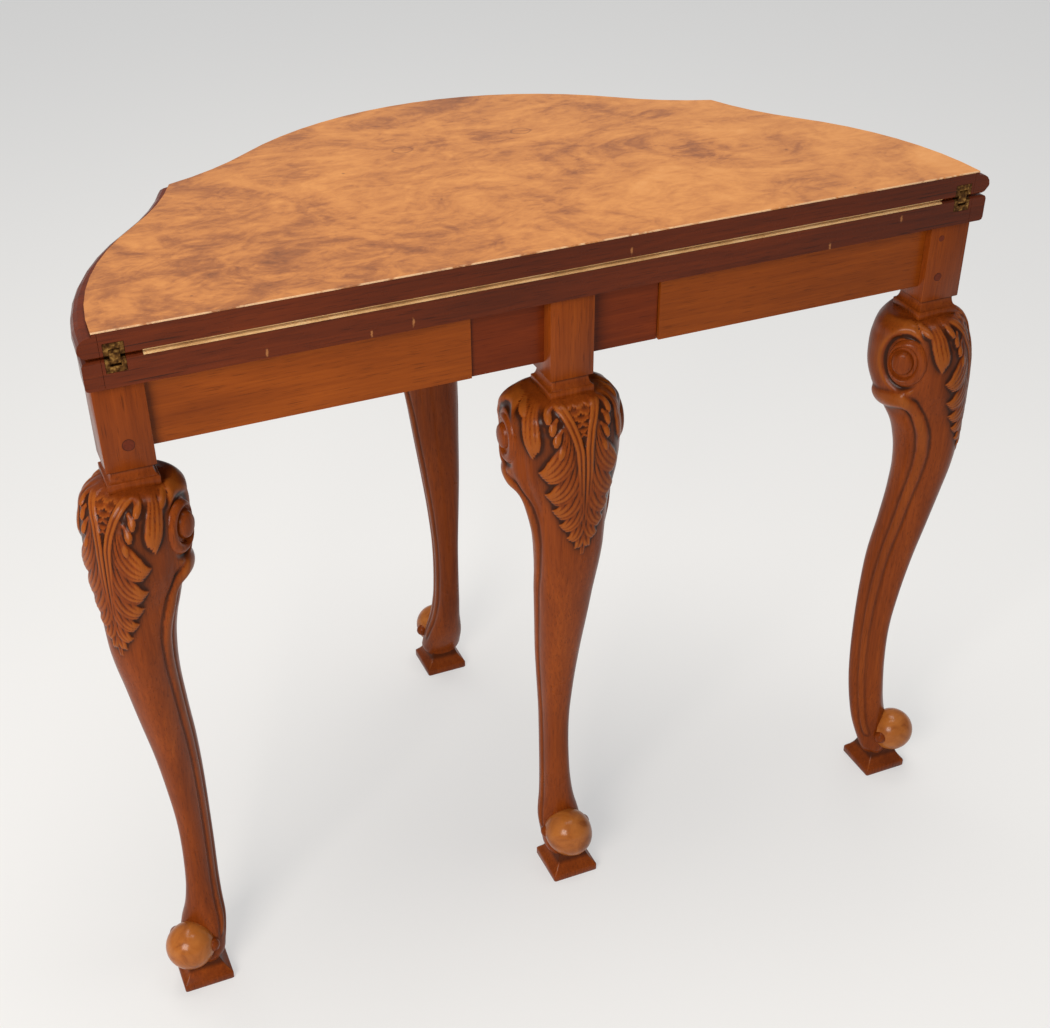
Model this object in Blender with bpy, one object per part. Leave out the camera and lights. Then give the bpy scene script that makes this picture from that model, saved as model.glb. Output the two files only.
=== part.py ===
"""Card table in walnut: a lobed double top on link hinges, carved cabriole legs,
and a middle rear leg that slides out to carry the opened leaf.

Metres, +Z up. Plan sizes are taken from the hinge line: x runs along it, y runs from the flat
rear face of the leaves to the middle of the front lobe. The table empty then puts the middle of
the whole footprint on the world's origin.
"""

import math

import bmesh
import bpy
from mathutils import Matrix, Vector

# Clearances
glue = 0.0003
running_fit = 0.0005
overrun = 0.004

# Outline of the top at the edge of its veneer. The opened top has four equal lobes.
lobe_reach = 0.4125
lobe_sweep = math.radians(41)
# Shares of the lobe's reach
lobe_radius_share = 0.7394
cusp_share = 0.6953
lobe_steps = 8
hollow_steps = 4

# Leaves, from the top down
table_height = 0.740
upper_thickness = 0.0225
leaf_gap = 0.002
lower_thickness = 0.025
veneer_thickness = 0.0012
moulding_lap = 0.004
hinge_edge_chamfer = 0.0015
lining_border = 0.0375
lining_thickness = 0.0013

# Moulded edges, out from the veneer's edge
fillet_depth = 0.004
fillet_step = 0.002
ovolo_reach = 0.013
ovolo_depth = 0.0145
ovolo_steps = 4
lip_back = 0.0005
lip_depth = 0.0165
upper_foot_reach = 0.007
lower_top_reach = 0.007
lower_face_reach = 0.0115
lower_top_round = 0.0035
lower_foot_round = 0.003
round_steps = 2

# Link hinges
hinge_inset = 0.0155
hinge_pin_inset = 0.0033
hinge_pin_depth = 0.00295
hinge_pin_radius = 0.0011
hinge_pin_play = 0.0001
hinge_pin_steps = 16
plate_width = 0.0165
plate_height = 0.0115
plate_depth = 0.0085
tang_width = 0.013
tang_length = 0.044
tang_thickness = 0.0025
link_width = 0.0085
link_radius = 0.0031
link_play = 0.00025
link_steps = 8
screw_places = (0.019, 0.036)
screw_head_radius = 0.0031
screw_head_depth = 0.0018
screw_radius = 0.0015
screw_length = 0.013
screw_play = 0.0002
screw_steps = 12

# Rails and friezes
rail_height = 0.067
rail_thickness = 0.019
rail_setback = 0.0195
frieze_inset = 0.015
frieze_thickness = 0.020
tenon_thickness = 0.008
tenon_shoulder = 0.0015
rail_tenon_length = 0.026
frieze_tenon_length = 0.014
peg_length = 0.0225
peg_steps = 16
peg_left_radius = 0.0055
peg_right_lower_radius = 0.0042
peg_right_upper_radius = 0.003
# Places of the pegs, out from the middle of the block and up from the foot of the rail
peg_left_place = (-0.0007, 0.0085)
peg_right_lower_place = (-0.0063, 0.010)
peg_right_upper_place = (-0.0088, 0.050)
corner_block_steps = 3
glue_block_side = 0.016
glue_block_steps = 3

# Leg blocks
block_side = 0.0427
block_drop = 0.0215
rear_block_inset = 0.0145
rear_block_face = 0.011
front_block_inset = 0.0275

# Pull-out leg and its slide
slide_half_width = 0.0913
slide_side_play = 0.0007
slide_face = 0.0225
slide_top_play = 0.001
slide_leg_face = 0.008
arm_thickness = 0.018
arm_play = 0.0015
arm_end_inset = 0.0675
arm_height = 0.060
housing = 0.005
tie_thickness = 0.020
tie_height = 0.045
guide_thickness = 0.016
guide_height = 0.062
guide_end_play = 0.0012
guide_side_play = 0.002
runner_depth = 0.008
runner_height = 0.012
runner_play = 0.0004
stop_width = 0.040
stop_thickness = 0.020
stop_drop = 0.020
stop_gap = 0.0033

# Collar under each block
neck_side = 0.0366
neck_height = 0.0055
collar_side = 0.045
collar_height = 0.006
cove_height = 0.008

# Carved leg: breadth is the unit of its outline, which runs from the collar to the foot
leg_breadth = 0.100
leg_section_steps = 14
# The corner legs are narrower across than the two middle ones.
corner_leg_width_share = 0.83
middle_leg_width_share = 0.96
# Shares of the height to the collar, then of the breadth: back, front and half width. Last, the
# squareness of the section: 2 is an ellipse.
leg_outline_shares = (
    (1.004, -0.205, 0.205, 0.205, 4.0),
    (0.995, -0.330, 0.325, 0.360, 2.8),
    (0.984, -0.405, 0.400, 0.480, 2.4),
    (0.962, -0.448, 0.475, 0.555, 2.2),
    (0.932, -0.460, 0.537, 0.572, 2.1),
    (0.908, -0.455, 0.558, 0.565, 2.1),
    (0.884, -0.418, 0.568, 0.545, 2.1),
    (0.860, -0.360, 0.572, 0.495, 2.1),
    (0.836, -0.285, 0.575, 0.445, 2.1),
    (0.808, -0.172, 0.567, 0.410, 2.1),
    (0.769, -0.084, 0.545, 0.365, 2.2),
    (0.718, -0.034, 0.510, 0.330, 2.3),
    (0.667, -0.038, 0.458, 0.300, 2.4),
    (0.590, -0.090, 0.378, 0.260, 2.6),
    (0.506, -0.163, 0.292, 0.220, 2.8),
    (0.423, -0.191, 0.229, 0.180, 3.0),
    (0.336, -0.197, 0.186, 0.150, 3.2),
    (0.260, -0.186, 0.191, 0.146, 3.2),
    (0.200, -0.160, 0.221, 0.153, 3.2),
    (0.153, -0.126, 0.284, 0.175, 3.2),
    (0.110, -0.070, 0.350, 0.198, 3.0),
    (0.075, 0.000, 0.380, 0.198, 2.8),
    (0.050, 0.085, 0.370, 0.170, 2.6),
    (0.041, 0.110, 0.340, 0.140, 2.6),
)

# Side volutes of the knee: rings of a turned disc, as shares of its radius and of its rise
volute_reach = 0.0200
volute_rise = 0.0265
volute_drop = 0.0375
volute_forward = -0.0045
volute_root = 0.044
volute_face = 0.0630
volute_steps = 16
volute_ring_shares = (
    (1.00, 0.00),
    (1.00, 0.72),
    (0.92, 0.92),
    (0.80, 0.96),
    (0.68, 0.86),
    (0.60, 0.72),
    (0.50, 0.72),
    (0.44, 0.92),
    (0.24, 1.00),
)

# Bead down each side: shares of the collar's height, then of the breadth forward and sideways
bead_radius = 0.0042
bead_sides = 6
bead_route_shares = (
    (0.862, -0.240, 0.400),
    (0.870, -0.130, 0.450),
    (0.866, -0.010, 0.480),
    (0.842, 0.100, 0.440),
    (0.806, 0.190, 0.385),
    (0.758, 0.215, 0.335),
    (0.700, 0.200, 0.292),
    (0.610, 0.130, 0.246),
    (0.506, 0.045, 0.202),
    (0.423, -0.020, 0.165),
    (0.336, -0.045, 0.136),
    (0.260, -0.035, 0.132),
    (0.190, -0.010, 0.142),
    (0.140, 0.020, 0.162),
    (0.100, 0.070, 0.178),
    (0.074, 0.140, 0.182),
    (0.060, 0.220, 0.180),
)
eye_radius = 0.0062
eye_place_shares = (0.0635, 0.265, 0.175)

# Ball and pad of the foot
ball_radius = 0.0235
ball_height = 0.0495
ball_forward = 0.040
ball_segments = 16
ball_rings = 8
pad_side = 0.0515
pad_forward = 0.0225
pad_edge = 0.0065
pad_edge_round = 0.001
pad_rise = 0.028
pad_neck_side = 0.031
pad_steps = 4

# Levels and places that follow
upper_bottom = table_height - upper_thickness
lower_top = upper_bottom - leaf_gap
rail_top = lower_top - lower_thickness
rail_bottom = rail_top - rail_height
collar_bottom = rail_bottom - block_drop - neck_height - cove_height - collar_height
volute_height = collar_bottom - volute_drop
lobe_radius = lobe_reach * lobe_radius_share
cusp_reach = lobe_reach * cusp_share
lobe_centre = lobe_reach - lobe_radius
hinge_reach = lobe_reach - hinge_inset
rear_block_reach = lobe_reach - rear_block_inset
front_block_centre = lobe_reach - front_block_inset
slide_opening = slide_half_width + slide_side_play
arm_end = lobe_reach - arm_end_inset
block_bottom = rail_bottom - block_drop
lower_pin_height = lower_top - hinge_pin_depth
upper_pin_height = upper_bottom + hinge_pin_depth
rear_block_centre = rear_block_face + block_side / 2
slide_leg_centre = slide_leg_face + block_side / 2
slide_back = slide_face + rail_thickness
rail_back = rail_setback + rail_thickness
block_inner = rear_block_reach - block_side / 2
block_back = rear_block_face + block_side
slide_top = rail_top - slide_top_play
arm_outer = slide_opening - arm_play
arm_inner = arm_outer - arm_thickness
arm_bottom = slide_top - arm_height
tie_face = arm_end - tie_thickness
stop_back = slide_leg_face + block_side + stop_gap + stop_thickness
runner_middle = slide_top - arm_height / 2
foot_reach = ball_forward + ball_radius
front_extent = front_block_centre + foot_reach
rear_extent = slide_leg_centre - foot_reach
footprint_middle = (front_extent + rear_extent) / 2


def clear_scene():
    for thing in list(bpy.data.objects):
        bpy.data.objects.remove(thing, do_unlink=True)


def new_collection(name):
    made = bpy.data.collections.new(name)
    bpy.context.scene.collection.children.link(made)
    return made


def material(name, colour, roughness, metallic=0.0):
    made = bpy.data.materials.new(name)
    made.use_nodes = True
    shader = made.node_tree.nodes["Principled BSDF"]
    shader.inputs["Base Color"].default_value = (*colour, 1.0)
    shader.inputs["Roughness"].default_value = roughness
    shader.inputs["Metallic"].default_value = metallic
    return made


def axis_empty(name, place, parent=None):
    """An empty on a joint's axis. Pieces under it are still modelled in the table's own frame."""
    made = bpy.data.objects.new(name, None)
    made.empty_display_size = block_side
    made.location = place
    made.parent = parent
    parts.objects.link(made)
    return made


def solid(name, bm, stuff, body):
    """A piece from a closed bmesh in the table's frame, hung on the empty that carries it."""
    bmesh.ops.recalc_face_normals(bm, faces=bm.faces)
    mesh = bpy.data.meshes.new(name)
    bm.to_mesh(mesh)
    bm.free()
    mesh.shade_smooth()
    mesh.set_sharp_from_angle(angle=math.radians(32))
    made = bpy.data.objects.new(name, mesh)
    made.parent = body
    made.location = body_offset(body)
    if stuff is None:
        cutters.objects.link(made)
        made.hide_render = True
        made.display_type = "WIRE"
    else:
        mesh.materials.append(stuff)
        parts.objects.link(made)
    return made


def body_offset(body):
    """What brings a piece modelled in the table's frame to the frame of its own empty."""
    return (0, 0, 0) if body == table else -body.location


def tool(name, bm, body):
    return solid(name, bm, None, body)


def boolean(target, other, operation):
    change = target.modifiers.new(f"{operation.lower()} {other.name}", "BOOLEAN")
    change.operation = operation
    change.solver = "EXACT"
    change.object = other


def cut(target, *others):
    for other in others:
        boolean(target, other, "DIFFERENCE")


def join(target, *others):
    for other in others:
        boolean(target, other, "UNION")


def box_mesh(low, high, bm=None):
    """A box between two corners, added to the given bmesh or to a new one."""
    bm = bm or bmesh.new()
    low, high = Vector(low), Vector(high)
    size = high - low
    matrix = Matrix.Translation((low + high) / 2) @ Matrix.Diagonal((*size, 1))
    bmesh.ops.create_cube(bm, size=1, matrix=matrix)
    return bm


def prism_mesh(points, bottom, top):
    """An outline in plan, extruded upwards."""
    bm = bmesh.new()
    face = bm.faces.new([bm.verts.new((x, y, bottom)) for x, y in points])
    raised = bmesh.ops.extrude_face_region(bm, geom=[face])["geom"]
    lift = [v for v in raised if isinstance(v, bmesh.types.BMVert)]
    bmesh.ops.translate(bm, vec=(0, 0, top - bottom), verts=lift)
    return bm


def cross_prism_mesh(points, left, right, bm=None):
    """An outline in y and z, extruded along x."""
    bm = bm or bmesh.new()
    face = bm.faces.new([bm.verts.new((left, y, z)) for y, z in points])
    pulled = bmesh.ops.extrude_face_region(bm, geom=[face])["geom"]
    move = [v for v in pulled if isinstance(v, bmesh.types.BMVert)]
    bmesh.ops.translate(bm, vec=(right - left, 0, 0), verts=move)
    return bm


def loft_mesh(rings, bm=None):
    """Closed sections of equal count, skinned in order and capped at both ends."""
    bm = bm or bmesh.new()
    rows = [[bm.verts.new(point) for point in ring] for ring in rings]
    for row, after in zip(rows, rows[1:]):
        for i, vert in enumerate(row):
            j = (i + 1) % len(row)
            bm.faces.new((vert, row[j], after[j], after[i]))
    bm.faces.new(reversed(rows[0]))
    bm.faces.new(rows[-1])
    return bm


def cylinder_mesh(start, end, radius, steps, end_radius=None, bm=None):
    """A round bar between two points, or a cone where the radii differ."""
    bm = bm or bmesh.new()
    start, end = Vector(start), Vector(end)
    axis = end - start
    turn = axis.to_track_quat("Z", "Y").to_matrix().to_4x4()
    matrix = Matrix.Translation((start + end) / 2) @ turn
    last = radius if end_radius is None else end_radius
    bmesh.ops.create_cone(
        bm, cap_ends=True, segments=steps, radius1=radius, radius2=last, depth=axis.length, matrix=matrix
    )
    return bm


def hollow_radius():
    """Radius of the hollow curve that leaves a lobe tangentially and ends at the cusp."""
    out = lobe_centre + lobe_radius * math.cos(lobe_sweep)
    across = lobe_radius * math.sin(lobe_sweep)
    run = Vector((cusp_reach - out, cusp_reach - across))
    normal = Vector((math.cos(lobe_sweep), math.sin(lobe_sweep)))
    return run.length_squared / (2 * run.dot(normal))


def half_lobe(offset, start=0, mitre_gap=0):
    """Points (out, across) from the middle of a lobe to its cusp, offset outwards.

    The first point lies at the given distance across, and the last one short of the mitre by its gap.
    """
    radius = lobe_radius + offset
    first = math.asin(start / radius)
    angles = [first + (lobe_sweep - first) * i / lobe_steps for i in range(lobe_steps + 1)]
    points = [(lobe_centre + radius * math.cos(a), radius * math.sin(a)) for a in angles]
    hollow = hollow_radius()
    out = lobe_centre + (lobe_radius + hollow) * math.cos(lobe_sweep)
    across = (lobe_radius + hollow) * math.sin(lobe_sweep)
    reach = hollow - offset
    side = out - mitre_gap - across
    cusp = (out - mitre_gap + across - math.sqrt(2 * reach**2 - side**2)) / 2
    last = math.atan2(across - cusp, out - cusp - mitre_gap)
    for i in range(1, hollow_steps + 1):
        angle = lobe_sweep + (last - lobe_sweep) * i / hollow_steps
        points.append((out - reach * math.cos(angle), across - reach * math.sin(angle)))
    return points


def front_points(offset, side, start=0, mitre_gap=0):
    """Half of the front lobe, on the side whose x has this sign."""
    return [(side * across, out) for out, across in half_lobe(offset, start, mitre_gap)]


def side_points(offset, side, start=0, mitre_gap=0):
    """The half of a side lobe that lies in front of the hinge line."""
    return [(side * out, across) for out, across in half_lobe(offset, start, mitre_gap)]


def leaf_outline(offset):
    """One leaf in plan: from the right end of its flat rear edge round to the left end."""
    right = side_points(offset, 1) + front_points(offset, 1)[-2::-1]
    left = front_points(offset, -1)[1:] + side_points(offset, -1)[-2::-1]
    return right + left


def quarter_arc(centre, reach, first, last, steps):
    """Points of an arc given by its centre, its two reaches and its angles in quarter turns."""
    found = []
    for i in range(steps + 1):
        angle = (first + (last - first) * i / steps) * math.pi / 2
        found.append((centre[0] + reach[0] * math.cos(angle), centre[1] + reach[1] * math.sin(angle)))
    return found


def upper_profile():
    """Section of the upper moulding: offset from the veneer's edge, then height."""
    bed = table_height - veneer_thickness - glue
    step = table_height - fillet_depth
    crest = table_height - ovolo_depth
    ovolo = quarter_arc((fillet_step, crest), (ovolo_reach - fillet_step, step - crest), 1, 0, ovolo_steps)
    fillet = [(-moulding_lap, upper_bottom), (-moulding_lap, bed), (-glue, bed), (-glue, step)]
    under = [(ovolo_reach - lip_back, table_height - lip_depth), (upper_foot_reach, upper_bottom)]
    return fillet + ovolo + under


def lower_profile():
    """Section of the lower moulding, with rounded top and bottom arrises."""
    top_reach = lower_face_reach - lower_top_reach
    top = quarter_arc(
        (lower_top_reach, lower_top - lower_top_round), (top_reach, lower_top_round), 1, 0, round_steps
    )
    foot = quarter_arc(
        (lower_face_reach - lower_foot_round, rail_top + lower_foot_round),
        (lower_foot_round, lower_foot_round),
        0,
        -1,
        round_steps,
    )
    return [(-moulding_lap, rail_top), (-moulding_lap, lower_top)] + top + foot


def moulding_mesh(profile, run):
    """A section carried along an outline. The run gives the outline's points for each offset."""
    lines = [[(x, y, height) for x, y in run(offset)] for offset, height in profile]
    return loft_mesh([list(ring) for ring in zip(*lines)])


def front_run(offset):
    right = front_points(offset, 1, 0, glue)[::-1]
    return right + front_points(offset, -1, 0, glue)[1:]


def side_run(side):
    return lambda offset: side_points(offset, side, 0, glue)


def hinge_edge_tool(name, body):
    """A square bar set on edge in the gap, which takes the corner off every piece on the hinge line."""
    middle = (lower_top + upper_bottom) / 2
    reach = leaf_gap / 2 + hinge_edge_chamfer
    points = [(-reach, middle), (0, middle - reach), (reach, middle), (0, middle + reach)]
    end = lobe_reach + ovolo_reach + overrun
    return tool(name, cross_prism_mesh(points, -end, end), body)


def leaf(prefix, body, bottom, top, core_top, lined_face, profile, stuff, edge_stuff):
    """Core, three lengths of moulding and the lining let into the playing face."""
    edge = hinge_edge_tool(f"{prefix} hinge edge", body)
    core = solid(
        f"{prefix}_leaf_core",
        prism_mesh(leaf_outline(-moulding_lap - glue), bottom, core_top),
        stuff,
        body,
    )
    inward = 1 if lined_face == bottom else -1
    bed = lined_face + inward * (lining_thickness + glue)
    face = lined_face - inward * overrun
    recess = tool(
        f"{prefix} lining recess",
        prism_mesh(open_rear(leaf_outline(-lining_border)), min(bed, face), max(bed, face)),
        body,
    )
    inner = lined_face + inward * lining_thickness
    lining = solid(
        f"{prefix}_leaf_lining",
        prism_mesh(leaf_outline(-lining_border - glue), min(lined_face, inner), max(lined_face, inner)),
        cloth,
        body,
    )
    cut(core, edge, recess)
    cut(lining, edge)
    runs = {"front": front_run, "right": side_run(1), "left": side_run(-1)}
    for name, run in runs.items():
        moulding = solid(f"{prefix}_moulding_{name}", moulding_mesh(profile, run), edge_stuff, body)
        if name != "front":
            cut(moulding, edge)
    return core


def open_rear(points):
    """The outline carried past the flat rear edge, so that a cut runs out through it."""
    return [(points[0][0], -overrun)] + points + [(points[-1][0], -overrun)]


def plate_box(inner_face, inward, middle, width, start, length, thickness, play=0):
    """Box of a hinge part that lies against a leaf's playing face, grown by a play all round."""
    far = inner_face + inward * (thickness + play)
    near = inner_face - inward * (overrun if play else 0)
    low = (middle - width / 2 - play, start, min(near, far))
    high = (middle + width / 2 + play, length + play, max(near, far))
    return low, high


def link_slot_points(pin_height, inward):
    """Side view of the slot that the link swings in: open to the rear and towards the other leaf."""
    reach = link_radius + link_play
    clear = pin_height - inward * (hinge_pin_depth + overrun)
    deep = pin_height + inward * reach
    points = [(-overrun, clear), (hinge_pin_inset + reach, clear)]
    for i in range(link_steps + 1):
        angle = math.pi / 2 * i / link_steps
        y = hinge_pin_inset + reach * math.cos(angle)
        points.append((y, pin_height + inward * reach * math.sin(angle)))
    return points + [(-overrun, deep)]


def hinge_half(leaf_name, side_name, middle, inner_face, inward, body, core):
    """Plate with its tang, pin and two screws, let into one leaf."""
    tag = f"{leaf_name}_{side_name}"
    start = 0
    knuckle = (middle, plate_width, start, plate_depth, plate_height)
    tang = (middle, tang_width, start, tang_length, tang_thickness)
    plate = solid(
        f"hinge_plate_{tag}", box_mesh(*plate_box(inner_face, inward, *knuckle)), brass, body
    )
    join(plate, tool(f"tang {tag}", box_mesh(*plate_box(inner_face, inward, *tang)), body))
    pin_height = inner_face + inward * hinge_pin_depth
    half_slot = link_width / 2 + link_play
    slot = cross_prism_mesh(link_slot_points(pin_height, inward), middle - half_slot, middle + half_slot)
    half_pin = plate_width / 2 - glue
    left = Vector((middle - half_pin, hinge_pin_inset, pin_height))
    right = Vector((middle + half_pin, hinge_pin_inset, pin_height))
    past = Vector((overrun, 0, 0))
    bore = cylinder_mesh(left - past, right + past, hinge_pin_radius + hinge_pin_play, hinge_pin_steps)
    cut(
        plate,
        tool(f"link slot {tag}", slot, body),
        tool(f"pin bore {tag}", bore, body),
        hinge_edge_tool(f"hinge edge {tag}", body),
    )
    pin = cylinder_mesh(left, right, hinge_pin_radius, hinge_pin_steps)
    solid(f"hinge_pin_{tag}", pin, brass, body)
    pockets = [knuckle, tang]
    for name, (at, width, first, length, thickness) in zip(("knuckle", "tang"), pockets):
        low, high = plate_box(inner_face, inward, at, width, first - overrun, length, thickness, glue)
        cut(core, tool(f"{name} pocket {tag}", box_mesh(low, high), body))
    for number, place in enumerate(screw_places, 1):
        hinge_screw(f"{tag}_{number}", (middle, place), inner_face, inward, body, plate, core)


def hinge_screw(tag, place, inner_face, inward, body, plate, core):
    """A countersunk screw through the tang into the leaf, and the holes that take it."""
    face = Vector((*place, inner_face))
    into = Vector((0, 0, inward))
    head_end = face + into * screw_head_depth
    screw = cylinder_mesh(face, head_end, screw_head_radius, screw_steps, screw_radius)
    piece = solid(f"hinge_screw_{tag}", screw, brass, body)
    shank = cylinder_mesh(
        face + into * screw_head_depth / 2, face + into * screw_length, screw_radius, screw_steps
    )
    join(piece, tool(f"shank {tag}", shank, body))
    slope = (screw_head_radius - screw_radius) / screw_head_depth
    wide = screw_head_radius + screw_play + slope * overrun
    sink = cylinder_mesh(
        face - into * overrun, head_end, wide, screw_steps, screw_radius + screw_play
    )
    hole = cylinder_mesh(
        face - into * overrun,
        face + into * (screw_length + screw_play),
        screw_radius + screw_play,
        screw_steps,
    )
    cut(plate, tool(f"countersink {tag}", sink, body))
    hole_tool = tool(f"screw hole {tag}", hole, body)
    cut(plate, hole_tool)
    cut(core, hole_tool)


def hinge_link(side_name, middle):
    """Flat link with round ends and an eye for each pin."""
    points = []
    for centre, first in ((upper_pin_height, 0), (lower_pin_height, math.pi)):
        for i in range(link_steps + 1):
            angle = first + math.pi * i / link_steps
            y = hinge_pin_inset + link_radius * math.cos(angle)
            points.append((y, centre + link_radius * math.sin(angle)))
    half = link_width / 2
    link = solid(
        f"hinge_link_{side_name}",
        cross_prism_mesh(points, middle - half, middle + half),
        brass,
        link_body,
    )
    for name, height in (("lower", lower_pin_height), ("upper", upper_pin_height)):
        start = (middle - half - overrun, hinge_pin_inset, height)
        end = (middle + half + overrun, hinge_pin_inset, height)
        eye = cylinder_mesh(start, end, hinge_pin_radius + hinge_pin_play, hinge_pin_steps)
        cut(link, tool(f"{name} eye {side_name}", eye, link_body))


def build_top():
    lower = leaf(
        "lower", table, rail_top, lower_top, lower_top, lower_top, lower_profile(), walnut, edge_walnut
    )
    bed = table_height - veneer_thickness - glue
    upper = leaf(
        "upper", upper_body, upper_bottom, table_height, bed, upper_bottom, upper_profile(),
        walnut, edge_walnut,
    )
    sheet = prism_mesh(leaf_outline(0), table_height - veneer_thickness, table_height)
    solid("upper_leaf_veneer", sheet, burr, upper_body)
    for side_name, side in (("left", -1), ("right", 1)):
        middle = side * hinge_reach
        hinge_half("lower", side_name, middle, lower_top, -1, table, lower)
        hinge_half("upper", side_name, middle, upper_bottom, 1, upper_body, upper)
        hinge_link(side_name, middle)


def ranged_box(middle, half, low, high, bottom, top):
    """A box centred at x, between two y and two z."""
    return box_mesh((middle - half, low, bottom), (middle + half, high, top))


def build_rear_rails():
    """The two rear rails, tenoned into the leg blocks, with their pegs."""
    top = rail_top - glue
    tenon_low = rail_setback + (rail_thickness - tenon_thickness) / 2
    tenon_high = tenon_low + tenon_thickness
    bottom = rail_bottom + tenon_shoulder
    tenon_top = top - tenon_shoulder
    tenons = {}
    for side_name, side in (("left", -1), ("right", 1)):
        ends = sorted((side * (slide_opening + glue), side * (block_inner - glue)))
        rail = solid(
            f"rear_rail_{side_name}",
            box_mesh((ends[0], rail_setback, rail_bottom), (ends[1], rail_back, top)),
            walnut,
            table,
        )
        tip = side * (block_inner + rail_tenon_length)
        root = side * (block_inner - overrun)
        low = (min(tip, root), tenon_low, bottom)
        high = (max(tip, root), tenon_high, tenon_top)
        join(rail, tool(f"rail tenon {side_name}", box_mesh(low, high), table))
        tenons[side] = (rail, low, high)
    return tenons


def grown(low, high, play=glue):
    """The corners of a box, moved out by a play."""
    shift = Vector((play, play, play))
    return Vector(low) - shift, Vector(high) + shift


def frieze_tenon(side, front):
    """Corners of the tenon at the block end of a frieze."""
    bottom = rail_bottom + tenon_shoulder
    top = rail_top - glue - tenon_shoulder
    middle_offset = -frieze_inset - frieze_thickness / 2
    half = tenon_thickness / 2
    if front:
        start = block_side / 2
        out = half_lobe(middle_offset, start)[0][0]
        xs = sorted((side * (start - frieze_tenon_length), side * (start + overrun)))
        return (xs[0], out - half, bottom), (xs[1], out + half, top)
    start = block_back
    out = half_lobe(middle_offset, start)[0][0]
    low = (side * out - half, start - frieze_tenon_length, bottom)
    return low, (side * out + half, start + overrun, top)


def build_friezes():
    """Bowed friezes, mitred at the cusps and tenoned to the blocks."""
    corners = ((-frieze_inset, rail_bottom), (-frieze_inset, rail_top - glue))
    inner = -frieze_inset - frieze_thickness
    profile = corners + ((inner, rail_top - glue), (inner, rail_bottom))
    tenons = {}
    for side_name, side in (("left", -1), ("right", 1)):
        for front in (True, False):
            points = front_points if front else side_points
            start = (block_side / 2 if front else block_back) + glue
            place = "front" if front else "side"

            def run(offset):
                return points(offset, side, start, glue)

            name = f"{place}_frieze_{side_name}"
            piece = solid(name, moulding_mesh(profile, run), walnut, table)
            low, high = frieze_tenon(side, front)
            join(piece, tool(f"tenon {name}", box_mesh(low, high), table))
            tenons[side, front] = (low, high)
        corner_block(side_name, side)
        glue_blocks(side_name, side)
    return tenons


def corner_block(side_name, side):
    """Block glued inside the cusp, shaped to the two friezes that meet there."""
    offset = -frieze_inset - frieze_thickness - glue
    front = front_points(offset, side)[-corner_block_steps:]
    flank = side_points(offset, side)[-corner_block_steps:-1]
    mesh = prism_mesh(front + flank[::-1], rail_bottom + tenon_shoulder, rail_top - glue)
    solid(f"corner_block_{side_name}", mesh, pine, table)


def glue_blocks(side_name, side):
    """Short blocks in the angle of frieze and leaf."""
    outer = -frieze_inset - frieze_thickness - glue
    inner = outer - glue_block_side
    top = rail_top - glue
    profile = ((outer, top - glue_block_side), (outer, top), (inner, top), (inner, top - glue_block_side))
    guide_end = slide_opening + guide_thickness + guide_side_play
    for place, points, start in (("front", front_points, guide_end), ("side", side_points, 0)):

        def run(offset):
            middle = lobe_steps - glue_block_steps
            return points(offset, side, start)[middle : middle + glue_block_steps]

        solid(f"glue_block_{place}_{side_name}", moulding_mesh(profile, run), pine, table)


def peg(name, side, place, radius, rail, leg):
    """A round peg driven through a leg block and the tenon inside it."""
    x, height = side * (rear_block_reach + place[0]), rail_bottom + place[1]
    start = Vector((x, rear_block_face, height))
    end = start + Vector((0, peg_length, 0))
    solid(name, cylinder_mesh(start, end, radius, peg_steps), walnut, table)
    past = Vector((0, overrun, 0))
    play = Vector((0, glue, 0))
    bore = tool(f"bore {name}", cylinder_mesh(start - past, end + play, radius + glue, peg_steps), table)
    cut(rail, bore)
    cut(leg, bore)


def square_ring(centre, side, height):
    x, y = centre
    half = side / 2
    return [(x + a * half, y + b * half, height) for a, b in ((-1, -1), (1, -1), (1, 1), (-1, 1))]


def block_mesh(centre, top):
    """Square leg block with the sunk neck, cove and collar below it."""
    cove_top = block_bottom - neck_height
    cove_foot = cove_top - cove_height
    arc = quarter_arc((collar_side, cove_top), (neck_side - collar_side, -cove_height), 0, 1, round_steps + 1)
    rings = [(top, block_side), (block_bottom, block_side), (block_bottom, neck_side)]
    rings += [(height, side) for side, height in arc]
    rings += [(cove_foot - collar_height, collar_side)]
    return loft_mesh([square_ring(centre, side, height) for height, side in rings])


def leg_frame(centre, facing):
    """Takes (forward, sideways, height) of a leg to the table's frame."""
    return Matrix.Translation((*centre, 0)) @ Matrix.Rotation(facing, 4, "Z")


def superellipse(share, squareness):
    """A point of a unit section whose sides are the flatter, the squarer it is."""
    angle = 2 * math.pi * share
    power = 2 / squareness
    forward, sideways = math.cos(angle), math.sin(angle)
    return (
        math.copysign(abs(forward) ** power, forward),
        math.copysign(abs(sideways) ** power, sideways),
    )


def leg_body_mesh(frame, width):
    """Knee, shank and scroll foot, lofted through level sections."""
    rings = []
    for height, back, front, half, squareness in leg_outline_shares:
        middle, reach = (front + back) / 2, (front - back) / 2
        ring = []
        for i in range(leg_section_steps):
            forward, sideways = superellipse((i + 0.5) / leg_section_steps, squareness)
            place = Vector((middle + reach * forward, width * half * sideways, 0)) * leg_breadth
            place.z = height * collar_bottom
            ring.append(frame @ place)
        rings.append(ring)
    return loft_mesh(rings)


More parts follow.
